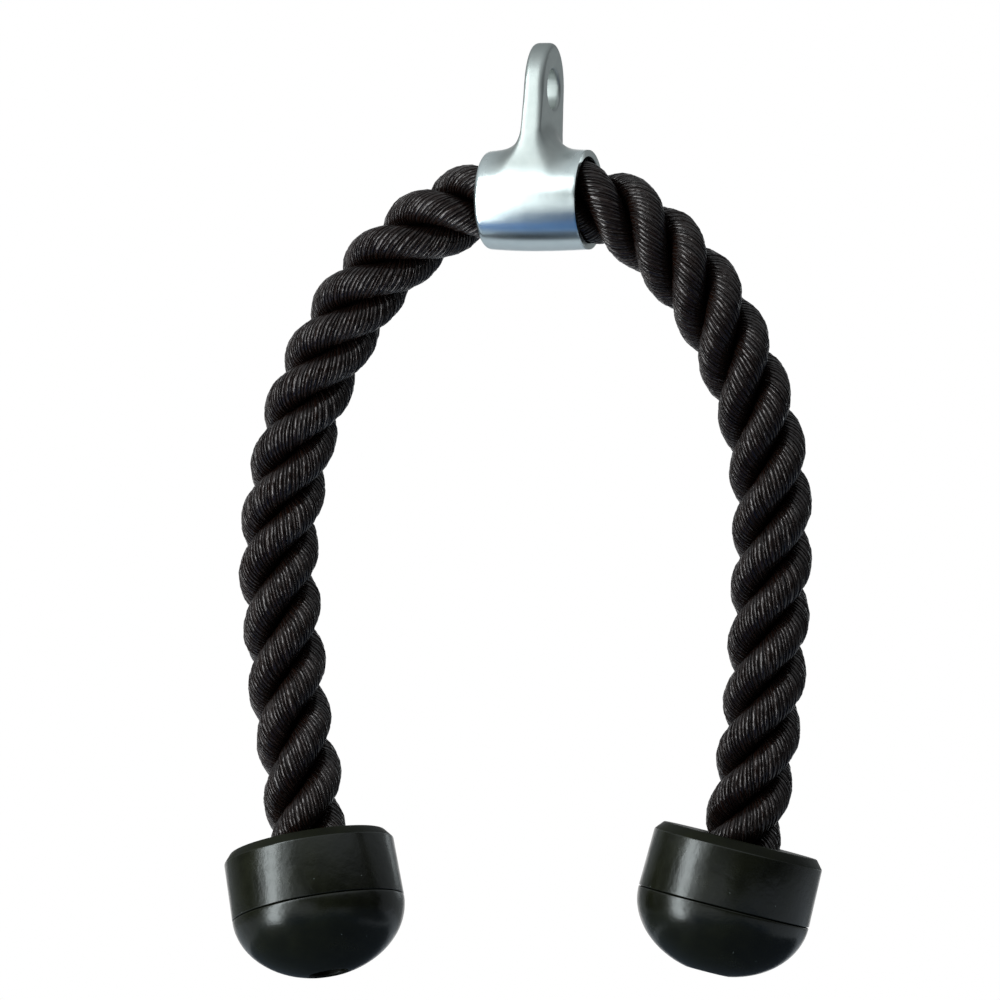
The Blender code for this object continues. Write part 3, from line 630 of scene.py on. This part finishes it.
collar = {
    "length": 0.0418, "bore": 0.0338, "wall": 0.0028, "hub": 0.004,
    "belly": 0.00045, "leftWaist": 0.00035, "rightWaist": 0.00015,   # the tube is a slight barrel
    "outerLip": 0.0019, "rightLip": 0.0005, "innerLip": 0.0004,
    "around": 192, "arcSteps": 8,
    "earWidth": 0.0287, "earTop": 0.0183, "earThickness": 0.0082, "earEdge": 0.0019,
    "eye": 0.0155, "eyeEdge": 0.0010,
    "crownFillet": 0.0125, "flankFillet": 0.0085,
    "sweep": 2.2,             # how fast the ear's sides spread towards the tube
    "outlineSteps": 44, "faceRows": 26, "edgeRows": 6,
    "faceEase": 1.5,          # rows stand closer together near the ear's edge
    "filletSink": 0.0005,     # how far the root fillet starts inside the tube
    "voxel": 0.0004, "passes": 14,
    "softPasses": 160,        # more for the band round the ear's root
    "softHeight": 0.002, "softBand": 0.0065, "softSide": 0.0075, "softSideBand": 0.006, "softLevels": 10,
    "cutSteps": 6, "cutPast": 0.004, "cutClear": 0.003,
    "cutHub": 0.002, "coreRadius": 0.003, "corePin": 0.0001, "coreSides": 24,
    "faced": 0.0007,          # stock that the lathe takes off the right end
    "smoothUpTo": 40,         # degrees
}


# Aluminium alloy, cast and tumbled to a satin. The tube is polished a little finer than the ear, so it
# shows the softbox as a broad white band with a soft edge
castLook = {
    # the dull tone darkens the ear, partly its own grey and partly painted shade, and the right end face as
    # painted shade
    "tones": ((0.25, "#dce4e3"), (0.80, "#e8efed")), "dullAndShadedTone": "#bfbdbb",
    "rippleScale": 240.0,            # orange peel 4 mm across
    "pitScale": 2000.0,              # tumbling marks half a millimetre across
    "earHeight": (-0.0385, -0.0290),   # the ear is left as tumbled, rougher and greyer, its grey partly its own tone and partly painted shade; where that comes in, upwards and towards its middle plane
    "earSide": (0.021, 0.009),         # that comes in, upwards and towards its middle plane
    "faceFrom": (0.0200, 0.0206),      # the tube's right end face is darker and rougher, as painted shade, all but its near side, which stays bright
    "nearFrom": (-0.012, -0.018),      # but its near edge is rubbed bright
    "rough": (0.19, 0.42), "pitRough": 0.08,
    "pitHeight": 0.10, "bumpStrength": 0.20, "bump": 0.00010,
}


def castAluminium(look):
    material, tree, shader = newMaterial("castAluminiumTumbled", {"Metallic": 1.0})
    place = addNode(tree, "ShaderNodeTexCoord").outputs["Object"]
    split = addNode(tree, "ShaderNodeSeparateXYZ", links={"Vector": place})
    ripple = addNode(tree, "ShaderNodeTexNoise", {
        "Scale": look["rippleScale"], "Detail": 2.0, "Roughness": 0.5,
    }, {"Vector": place})
    pits = addNode(tree, "ShaderNodeTexNoise", {"Scale": look["pitScale"], "Detail": 2.0}, {"Vector": place})
    ramp = addNode(tree, "ShaderNodeValToRGB", {"stops": look["tones"]}, {"Fac": ripple.outputs["Fac"]})
    aside = addNode(tree, "ShaderNodeMath", {"operation": "ABSOLUTE"}, {0: split.outputs["X"]})
    upper = addNode(tree, "ShaderNodeMapRange", {
        "interpolation_type": "SMOOTHSTEP", "from": look["earHeight"],
    }, {"Value": split.outputs["Z"]})
    middle = addNode(tree, "ShaderNodeMapRange", {
        "interpolation_type": "SMOOTHSTEP", "from": look["earSide"],
    }, {"Value": aside.outputs[0]})
    mouth = addNode(tree, "ShaderNodeMapRange", {"from": look["faceFrom"]}, {"Value": split.outputs["X"]})
    near = addNode(tree, "ShaderNodeMapRange", {"from": look["nearFrom"]}, {"Value": split.outputs["Y"]})
    ear = addNode(tree, "ShaderNodeMath", {"operation": "MULTIPLY"}, {0: upper.outputs[0], 1: middle.outputs[0]})
    # the right end face is darkened as painted shade, all but its near side
    nearEdgeKeptBright = addNode(tree, "ShaderNodeMath", {"operation": "MULTIPLY"}, {0: mouth.outputs[0], 1: near.outputs[0]})
    shadedEndFace = addNode(tree, "ShaderNodeMath", {"operation": "SUBTRACT", "use_clamp": True}, {
        0: mouth.outputs[0], 1: nearEdgeKeptBright.outputs[0],
    })
    # darker and rougher on the ear and the right end face: painted shade, on the ear partly its own tone too
    dullAndShaded = addNode(tree, "ShaderNodeMath", {"operation": "MAXIMUM"}, {0: ear.outputs[0], 1: shadedEndFace.outputs[0]})
    tone = addNode(tree, "ShaderNodeMix", {
        "data_type": "RGBA", "blend_type": "MULTIPLY", 7: hexColour(look["dullAndShadedTone"]),
    }, {0: dullAndShaded.outputs[0], 6: ramp.outputs["Color"]})
    tree.links.new(tone.outputs[2], shader.inputs["Base Color"])
    rough = addNode(tree, "ShaderNodeMapRange", {"to": look["rough"]}, {"Value": dullAndShaded.outputs[0]})
    gloss = addNode(tree, "ShaderNodeMath", {"operation": "MULTIPLY_ADD", 1: look["pitRough"]}, {
        0: pits.outputs["Fac"], 2: rough.outputs[0],
    })
    tree.links.new(gloss.outputs[0], shader.inputs["Roughness"])
    both = addNode(tree, "ShaderNodeMath", {"operation": "MULTIPLY_ADD", 1: look["pitHeight"]}, {
        0: pits.outputs["Fac"], 2: ripple.outputs["Fac"],
    })
    bump = addNode(tree, "ShaderNodeBump", {"Strength": look["bumpStrength"], "Distance": look["bump"]}, {
        "Height": both.outputs[0],
    })
    tree.links.new(bump.outputs[0], shader.inputs["Normal"])
    return material


def arcPoints(centre, radii, start, stop, steps):
    angles = [math.radians(start + (stop - start) * k / steps) for k in range(steps + 1)]
    return [(centre[0] + radii[0] * math.cos(a), centre[1] + radii[1] * math.sin(a)) for a in angles]


def earStations(c):
    # the ear's outline and its eye seen along the bore, as matching points
    reach, half = c["bore"] / 2 + c["wall"] + c["belly"], c["earWidth"] / 2
    # how far round the tube the ear's side meets it, found in a few rounds
    touch = math.pi / 2
    for _ in range(12):
        spread = c["sweep"] * (reach * math.sin(touch) - half)
        touch = math.atan2(tubeDrop - reach * math.cos(touch), spread)
    flank = (reach * math.sin(touch), reach * math.cos(touch) - tubeDrop)
    root = c["bore"] / 2 + c["wall"] * 0.5
    n = c["outlineSteps"]
    along = [touch * k / n for k in range(n)]
    outline = [(root * math.sin(turn), root * math.cos(turn) - tubeDrop) for turn in along]
    for k in range(n):
        share = 1 - k / n
        outline.append((half + (flank[0] - half) * share ** c["sweep"], flank[1] * share))
    outline += arcPoints((0, 0), (half, c["earTop"]), 0, 90, n)
    outline += [(-y, z) for y, z in reversed(outline[1:-1])]
    turns = [2 * math.pi * k / len(outline) - math.pi / 2 for k in range(len(outline))]
    return outline, [(c["eye"] / 2 * math.cos(t), c["eye"] / 2 * math.sin(t)) for t in turns]


def rootFillet(c, y, z):
    # how much thicker each side of the ear is near the tube
    height = z + tubeDrop
    rise = math.hypot(y, height) - (c["bore"] / 2 + c["wall"] + c["belly"]) + c["filletSink"]
    flankShare = min(1.0, math.atan2(abs(y), height) / (math.pi / 2))
    radius = c["crownFillet"] + (c["flankFillet"] - c["crownFillet"]) * flankShare
    inside = min(radius, max(0.0, radius - rise))
    return radius - math.sqrt(radius**2 - inside**2)


def earForm(c):
    # made by code, station by station, as its root fillet grows from the flanks to the crown
    vertices, faces = [], []
    outline, eye = earStations(c)
    quarter = [math.pi / 2 * k / c["edgeRows"] for k in range(c["edgeRows"] + 1)]
    for edge, hole in zip(outline, eye):
        edge, hole = np.array(edge), np.array(hole)
        inward = (hole - edge) / np.linalg.norm(hole - edge)
        start, stop = edge + inward * c["earEdge"], hole - inward * c["eyeEdge"]
        inwards = [(k / c["faceRows"]) ** c["faceEase"] for k in range(1, c["faceRows"])]
        side = [
            (edge + inward * c["earEdge"] * (1 - math.cos(turn)), c["earEdge"] * (1 - math.sin(turn)))
            for turn in quarter
        ]
        side += [(start + (stop - start) * share, 0) for share in inwards]
        side += [
            (stop + inward * c["eyeEdge"] * math.sin(turn), c["eyeEdge"] * (1 - math.cos(turn)))
            for turn in quarter
        ]
        ring = [(c["earThickness"] / 2 + rootFillet(c, y, z) - lower, y, z) for (y, z), lower in side]
        vertices += ring + [(-x, y, z) for x, y, z in reversed(ring)]
    around, count = len(outline), 2 * len(ring)
    for k in range(around):
        for j in range(count):
            low, high = k * count, (k + 1) % around * count
            after = (j + 1) % count
            faces.append((low + j, high + j, high + after, low + after))
    mesh = bpy.data.meshes.new("ear")
    mesh.from_pydata([tuple(map(float, v)) for v in vertices], [], faces)
    ear = bpy.data.objects.new("ear", mesh)
    bpy.context.scene.collection.objects.link(ear)
    return ear


def layAlongX(piece, height):
    piece.rotation_euler = (0, math.radians(90), 0)
    piece.location = (0, 0, height)
    applyPlace(piece)


def castCollar(c):
    half, outer, steps = c["length"] / 2, c["bore"] / 2 + c["wall"], c["arcSteps"]
    leftLip, rightLip, end = c["outerLip"], c["rightLip"], half + c["faced"]
    left, right = outer - c["leftWaist"], outer - c["rightWaist"]
    rings = [(c["hub"], -half)] + arcPoints((left - leftLip, leftLip - half), (leftLip, leftLip), -90, 0, steps)
    for k in range(1, 4 * steps):
        share = k / steps / 2 - 1
        waist, lip = (c["leftWaist"], leftLip) if share < 0 else (c["rightWaist"], rightLip)
        rings.append((outer + c["belly"] - (c["belly"] + waist) * share**2, share * (half - lip)))
    rings += arcPoints((right - rightLip, end - rightLip), (rightLip, rightLip), 0, 90, steps)
    rings.append((c["hub"], end))
    casting = turnPiece("collar_casting", rings, c["around"])
    layAlongX(casting, -tubeDrop)
    ear = earForm(c)
    deselectAll()
    ear.select_set(True)
    bpy.context.view_layer.objects.active = ear
    bpy.ops.object.mode_set(mode="EDIT")
    bpy.ops.mesh.select_all(action="SELECT")
    bpy.ops.mesh.normals_make_consistent(inside=False)
    bpy.ops.object.mode_set(mode="OBJECT")
    casting.select_set(True)
    bpy.context.view_layer.objects.active = casting
    bpy.ops.object.join()
    skin = casting.modifiers.new("skin", "REMESH")
    skin.mode, skin.voxel_size, skin.use_smooth_shade = "VOXEL", c["voxel"], True
    finishModifiers(casting)
    dressCasting(casting, c)
    cutBore(casting, c)
    casting.rotation_euler = (-leanBack, 0, 0)
    applyPlace(casting)
    bpy.ops.object.shade_smooth_by_angle(angle=math.radians(c["smoothUpTo"]))
    casting.data.materials.clear()
    return casting


def dressCasting(casting, c):
    # a light smoothing pass all over, and a long one where the ear grows out of the tube
    spots = np.zeros(len(casting.data.vertices) * 3, np.float32)
    casting.data.vertices.foreach_get("co", spots)
    spots = spots.reshape(-1, 3)
    rise = np.hypot(spots[:, 1], spots[:, 2] + tubeDrop) - (c["bore"] / 2 + c["wall"])
    aside = np.abs(spots[:, 0]) - c["earThickness"] / 2
    offRoot = (np.abs(rise - c["softHeight"]) - c["softHeight"]) / c["softBand"]
    offEar = (aside - c["softSide"]) / c["softSideBand"]
    near = (1 - np.clip(offRoot, 0, 1)) * (1 - np.clip(offEar, 0, 1)) * (spots[:, 2] > -tubeDrop)
    group = casting.vertex_groups.new(name="root")
    levels = c["softLevels"]
    for level in range(1, levels + 1):
        chosen = np.nonzero(np.round(near * levels) == level)[0]
        if len(chosen):
            group.add(chosen.tolist(), level / levels, "REPLACE")
    long = casting.modifiers.new("dressedRoot", "SMOOTH")
    long.factor, long.iterations, long.vertex_group = 0.5, c["softPasses"], "root"
    light = casting.modifiers.new("dressed", "SMOOTH")
    light.factor, light.iterations = 0.5, c["passes"]
    finishModifiers(casting)


def cutBore(casting, c):
    # one turned cutter takes out the bore, rounds both mouths and faces the right end
    half, bore, lip = c["length"] / 2, c["bore"] / 2, c["innerLip"]
    past, clear, hub = half + c["cutPast"], bore + c["wall"] + c["cutClear"], c["cutHub"]
    left = arcPoints((bore + lip, lip - half), (lip, lip), 270, 180, c["cutSteps"])
    right = arcPoints((bore + lip, half - lip), (lip, lip), 180, 90, c["cutSteps"])
    rings = [(hub, -past), (bore + lip, -past)] + left + right + [(clear, half), (clear, past), (hub, past)]
    cutter = turnPiece("bore_cutter", rings, c["around"])
    layAlongX(cutter, -tubeDrop)
    # and a thin core takes out what the cutter's own middle leaves
    pin, thin = c["corePin"], c["coreRadius"]
    core = turnPiece("core_cutter", [(pin, -past), (thin, -past), (thin, past), (pin, past)], c["coreSides"])
    layAlongX(core, -tubeDrop)
    for tool in (core, cutter):
        take = casting.modifiers.new("bore", "BOOLEAN")
        take.operation, take.object, take.solver = "DIFFERENCE", tool, "EXACT"
        finishModifiers(casting)
        bpy.data.objects.remove(tool)


casting = castCollar(collar)
casting.data.materials.append(castAluminium(castLook))
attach(casting, "collar")
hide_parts("eyelet_collar")
print("collar cast:", len(casting.data.polygons), "faces")


# The inner metal: zinc plate is pale grey with a soft shine, drawn aluminium a little brighter, and black
# oxide nearly black with a faint gloss. Each has its dark and pale tone, its roughness and its grain's size
metals = {
    "thrust_washer": ("zincPlatedSteelStamped", "#a9adb0", "#c9ccd0", (0.24, 0.38), 0.0012),
    "screw_washer": ("zincPlatedSteelSmall", "#a4a8ab", "#c4c8cb", (0.26, 0.40), 0.0010),
    "crimp_ferrule": ("drawnAluminiumCrimped", "#bfc2c4", "#d6d8d9", (0.28, 0.42), 0.0009),
    "retaining_screw": ("blackOxideSteel", "#1b1b1d", "#2c2c30", (0.30, 0.44), 0.0008),
}


def plainMetal(name, dark, pale, rough, grainSize):
    material, tree, shader = newMaterial(name, {"Metallic": 1.0})
    place = addNode(tree, "ShaderNodeTexCoord")
    grain = addNode(tree, "ShaderNodeTexNoise", {"Scale": 1 / grainSize, "Detail": 3.0}, {
        "Vector": place.outputs["Object"],
    })
    ramp = addNode(tree, "ShaderNodeValToRGB", {"stops": ((0, dark), (1, pale))}, {"Fac": grain.outputs["Fac"]})
    tree.links.new(ramp.outputs["Color"], shader.inputs["Base Color"])
    gloss = addNode(tree, "ShaderNodeMapRange", {"to": rough}, {"Value": grain.outputs["Fac"]})
    tree.links.new(gloss.outputs[0], shader.inputs["Roughness"])
    bump = addNode(tree, "ShaderNodeBump", {"Strength": 0.2, "Distance": 0.00004}, {
        "Height": grain.outputs["Fac"],
    })
    tree.links.new(bump.outputs[0], shader.inputs["Normal"])
    return material


# Nylon melted with a hot blade and set: glassy black with brown flow marks 2.5 mm across
def meltedNylon():
    material, tree, shader = newMaterial("meltedNylon", {"Roughness": 0.22})
    place = addNode(tree, "ShaderNodeTexCoord")
    flow = addNode(tree, "ShaderNodeTexNoise", {"Scale": 400.0, "Distortion": 2.0}, {
        "Vector": place.outputs["Object"],
    })
    ramp = addNode(tree, "ShaderNodeValToRGB", {"stops": ((0, "#060505"), (1, "#1f1813"))}, {
        "Fac": flow.outputs["Fac"],
    })
    tree.links.new(ramp.outputs["Color"], shader.inputs["Base Color"])
    bump = addNode(tree, "ShaderNodeBump", {"Strength": 0.5, "Distance": 0.0002}, {"Height": flow.outputs["Fac"]})
    tree.links.new(bump.outputs[0], shader.inputs["Normal"])
    return material


finishes = {ending: plainMetal(*look) for ending, look in metals.items()}
finishes["fused_end"] = meltedNylon()
for name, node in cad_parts.items():
    for ending, finish in finishes.items():
        if name.endswith(ending):
            node.data.materials.clear()
            node.data.materials.append(finish)
print("inner pieces finished")


studio = {
    "floorHeight": -1.35, "floorWidth": 9.0,
    "aim": (0, 0, -0.16),
    "lampTint": (0.90, 0.985, 1.0), "roomTint": (0.88, 0.96, 1, 1),
    # how bright the room is to the object, from front to back: its wall, and its ceiling further up
    "wall": (0.03, 0.27), "wallFrom": (-0.3, 0.6),
    "ceiling": (0.76, 0.46), "ceilingFrom": (-0.6, 0.6), "overheadFrom": (0.15, 0.65),
    # a pale card in front, a little lower than the object
    "fill": {"azimuth": -4, "slope": -0.25, "spread": (0.88, 0.985), "level": 0.66},
    # the lit white wall that metal sees behind itself
    "backdrop": {"azimuth": 200, "slope": 0, "spread": (0.90, 0.965), "level": 1.0},
}
# the softbox, a narrower and stronger lamp at its outer side, and a small one behind for the collar's right rim
lamps = {
    "softbox": {"azimuth": -36, "height": 0.24, "distance": 1.25, "size": (0.92, 3.0), "level": 1.6, "roll": -12},
    "strip": {"azimuth": -41, "height": 0.14, "distance": 1.20, "size": (0.34, 2.4), "level": 9.0, "roll": -6},
    "kicker": {"azimuth": 162, "height": 0.12, "distance": 1.30, "size": (0.14, 0.50), "level": 1.6, "roll": 0},
}


def addPanel(name, panel, aim, tint):
    # its energy is worked out from its area, so that level is how bright it looks
    data = bpy.data.lights.new(name, "AREA")
    data.shape, data.size, data.size_y = "ELLIPSE", *panel["size"]
    data.color = tint
    data.energy = math.pi * panel["level"] * math.pi / 4 * panel["size"][0] * panel["size"][1]
    lamp = bpy.data.objects.new(name, data)
    bpy.context.scene.collection.objects.link(lamp)
    turn = math.radians(panel["azimuth"])
    lamp.location = aim + Vector((
        math.sin(turn) * panel["distance"], -math.cos(turn) * panel["distance"], panel["height"]
    ))
    face = Matrix.Rotation(turn, 3, "Z") @ Matrix.Rotation(math.radians(90), 3, "X")
    lamp.rotation_euler = (face @ Matrix.Rotation(math.radians(panel["roll"]), 3, "Z")).to_euler()
    lamp.visible_camera = False


for name, panel in lamps.items():
    addPanel(name, panel, Vector(studio["aim"]), studio["lampTint"])


def lightRoom(studio):
    # white to the camera; to the object a room, dark in front, lighter behind and overhead
    world = bpy.data.worlds.new("studio")
    bpy.context.scene.world = world
    world.use_nodes = True
    sky = world.node_tree
    sky.nodes.clear()
    way = addNode(sky, "ShaderNodeTexCoord").outputs["Generated"]
    split = addNode(sky, "ShaderNodeSeparateXYZ", links={"Vector": way})
    wall = addNode(sky, "ShaderNodeMapRange", {
        "interpolation_type": "SMOOTHSTEP", "from": studio["wallFrom"], "to": studio["wall"],
    }, {"Value": split.outputs["Y"]})
    upward = addNode(sky, "ShaderNodeMapRange", {
        "interpolation_type": "SMOOTHSTEP", "from": studio["overheadFrom"],
    }, {"Value": split.outputs["Z"]})
    ceiling = addNode(sky, "ShaderNodeMapRange", {
        "interpolation_type": "SMOOTHSTEP", "from": studio["ceilingFrom"], "to": studio["ceiling"],
    }, {"Value": split.outputs["Y"]})
    level = addNode(sky, "ShaderNodeMix", {"data_type": "FLOAT"}, {
        0: upward.outputs[0], 2: wall.outputs[0], 3: ceiling.outputs[0],
    })
    rays = addNode(sky, "ShaderNodeLightPath")

    def spot(place):
        turn = math.radians(place["azimuth"])
        facing = addNode(sky, "ShaderNodeVectorMath", {
            "operation": "DOT_PRODUCT",
            1: Vector((math.sin(turn), -math.cos(turn), place["slope"])).normalized(),
        }, {0: way})
        return addNode(sky, "ShaderNodeMapRange", {
            "interpolation_type": "SMOOTHSTEP", "from": place["spread"], "to": (0, place["level"]),
        }, {"Value": facing.outputs["Value"]}).outputs[0]

    filled = addNode(sky, "ShaderNodeMath", {"operation": "ADD"}, {0: level.outputs[0], 1: spot(studio["fill"])})
    room = addNode(sky, "ShaderNodeBackground", {"Color": studio["roomTint"]}, {"Strength": filled.outputs[0]})
    seen = addNode(sky, "ShaderNodeBackground", {"Color": (1, 1, 1, 1), "Strength": 1.0})
    clear = addNode(sky, "ShaderNodeMath", {"operation": "MAXIMUM"}, {
        0: rays.outputs["Is Camera Ray"], 1: rays.outputs["Is Transmission Ray"],
    })
    # metal sees the white wall too, where it stands behind the object
    shiny = addNode(sky, "ShaderNodeMath", {"operation": "MULTIPLY_ADD"}, {
        0: rays.outputs["Is Glossy Ray"], 1: spot(studio["backdrop"]), 2: clear.outputs[0],
    })
    pick = addNode(sky, "ShaderNodeMixShader", links={
        0: shiny.outputs[0], 1: room.outputs[0], 2: seen.outputs[0],
    })
    addNode(sky, "ShaderNodeOutputWorld", links={"Surface": pick.outputs[0]})


lightRoom(studio)


def stagePlane(name, size, middle, height, material):
    deselectAll()
    bpy.ops.mesh.primitive_plane_add(size=1, location=(*middle, height))
    plane = bpy.context.object
    plane.name = name
    plane.scale = (*size, 1)
    bpy.ops.object.transform_apply(location=True, rotation=True, scale=True)
    plane.data.materials.append(material)
    return plane


# Pale paper sweep: near white to the camera, whiter far off, with the object's soft shadow kept
paper = {
    "tone": "#ccd2da", "toneSeen": "#f2f2f1",
    "fade": (1.6, 4.2), "white": (0.80, 1.0),
    "whiteInGloss": 0.1,
}


def palePaper(paper):
    material, tree, shader = newMaterial("palePaper", {"Roughness": 0.9})
    rays = addNode(tree, "ShaderNodeLightPath")
    tone = addNode(tree, "ShaderNodeMix", {
        "data_type": "RGBA", 6: hexColour(paper["tone"]), 7: hexColour(paper["toneSeen"]),
    }, {0: rays.outputs["Is Camera Ray"]})
    tree.links.new(tone.outputs[2], shader.inputs["Base Color"])
    white = addNode(tree, "ShaderNodeEmission", {"Color": (1, 1, 1, 1), "Strength": 1.0})
    place = addNode(tree, "ShaderNodeTexCoord")
    away = addNode(tree, "ShaderNodeVectorMath", {"operation": "LENGTH"}, {0: place.outputs["Object"]})
    share = addNode(tree, "ShaderNodeMapRange", {
        "interpolation_type": "SMOOTHSTEP", "from": paper["fade"], "to": paper["white"],
    }, {"Value": away.outputs["Value"]})
    seen = addNode(tree, "ShaderNodeMath", {"operation": "MULTIPLY_ADD", 1: paper["whiteInGloss"]}, {
        0: rays.outputs["Is Glossy Ray"], 2: rays.outputs["Is Camera Ray"],
    })
    mix = addNode(tree, "ShaderNodeMath", {"operation": "MULTIPLY"}, {0: share.outputs[0], 1: seen.outputs[0]})
    blend = addNode(tree, "ShaderNodeMixShader", links={
        0: mix.outputs[0], 1: shader.outputs["BSDF"], 2: white.outputs[0],
    })
    output = next(node for node in tree.nodes if node.type == "OUTPUT_MATERIAL")
    tree.links.new(blend.outputs[0], output.inputs["Surface"])
    return material


# Wool felt, blue and matt, paler towards the object. The camera doesn't see it: it is there for the blue
# band low on the collar
mat = {
    "middle": (0.0, -1.25), "size": (4.0, 2.4), "thickness": 0.002,
    "tone": "#335c8c", "pale": "#c4ccd6", "fade": (-0.50, -0.10),
}


def blueFelt(mat):
    material, tree, shader = newMaterial("blueGreyFelt", {"Roughness": 0.9})
    place = addNode(tree, "ShaderNodeTexCoord")
    split = addNode(tree, "ShaderNodeSeparateXYZ", links={"Vector": place.outputs["Object"]})
    fade = addNode(tree, "ShaderNodeMapRange", {
        "interpolation_type": "SMOOTHSTEP", "from": mat["fade"],
    }, {"Value": split.outputs["Y"]})
    tone = addNode(tree, "ShaderNodeMix", {
        "data_type": "RGBA", 6: hexColour(mat["tone"]), 7: hexColour(mat["pale"]),
    }, {0: fade.outputs[0]})
    tree.links.new(tone.outputs[2], shader.inputs["Base Color"])
    return material


# Dark cotton cloth, matt: a small flag under each stopper keeps the bright floor out of its dome. Only
# reflections see them
flags = {
    "tone": "#535c68", "height": -0.362, "back": -0.020, "depth": 0.15, "width": 0.14,
    "middles": (-0.080, 0.073),
}

floor, side = studio["floorHeight"], studio["floorWidth"]
stagePlane("studioFloor", (side, side), (0, 0), floor, palePaper(paper))
felt = stagePlane("studioMat", mat["size"], mat["middle"], floor + mat["thickness"], blueFelt(mat))
felt.visible_camera = False
cloth, *_ = newMaterial("darkFlagCloth", {"Base Color": hexColour(flags["tone"]), "Roughness": 1.0})
for index, middle in enumerate(flags["middles"]):
    flag = stagePlane(
        "studioFlag%d" % index, (flags["width"], flags["depth"]), (middle, flags["back"]), flags["height"], cloth
    )
    flag.visible_camera = flag.visible_shadow = flag.visible_diffuse = False
print("studio lit")
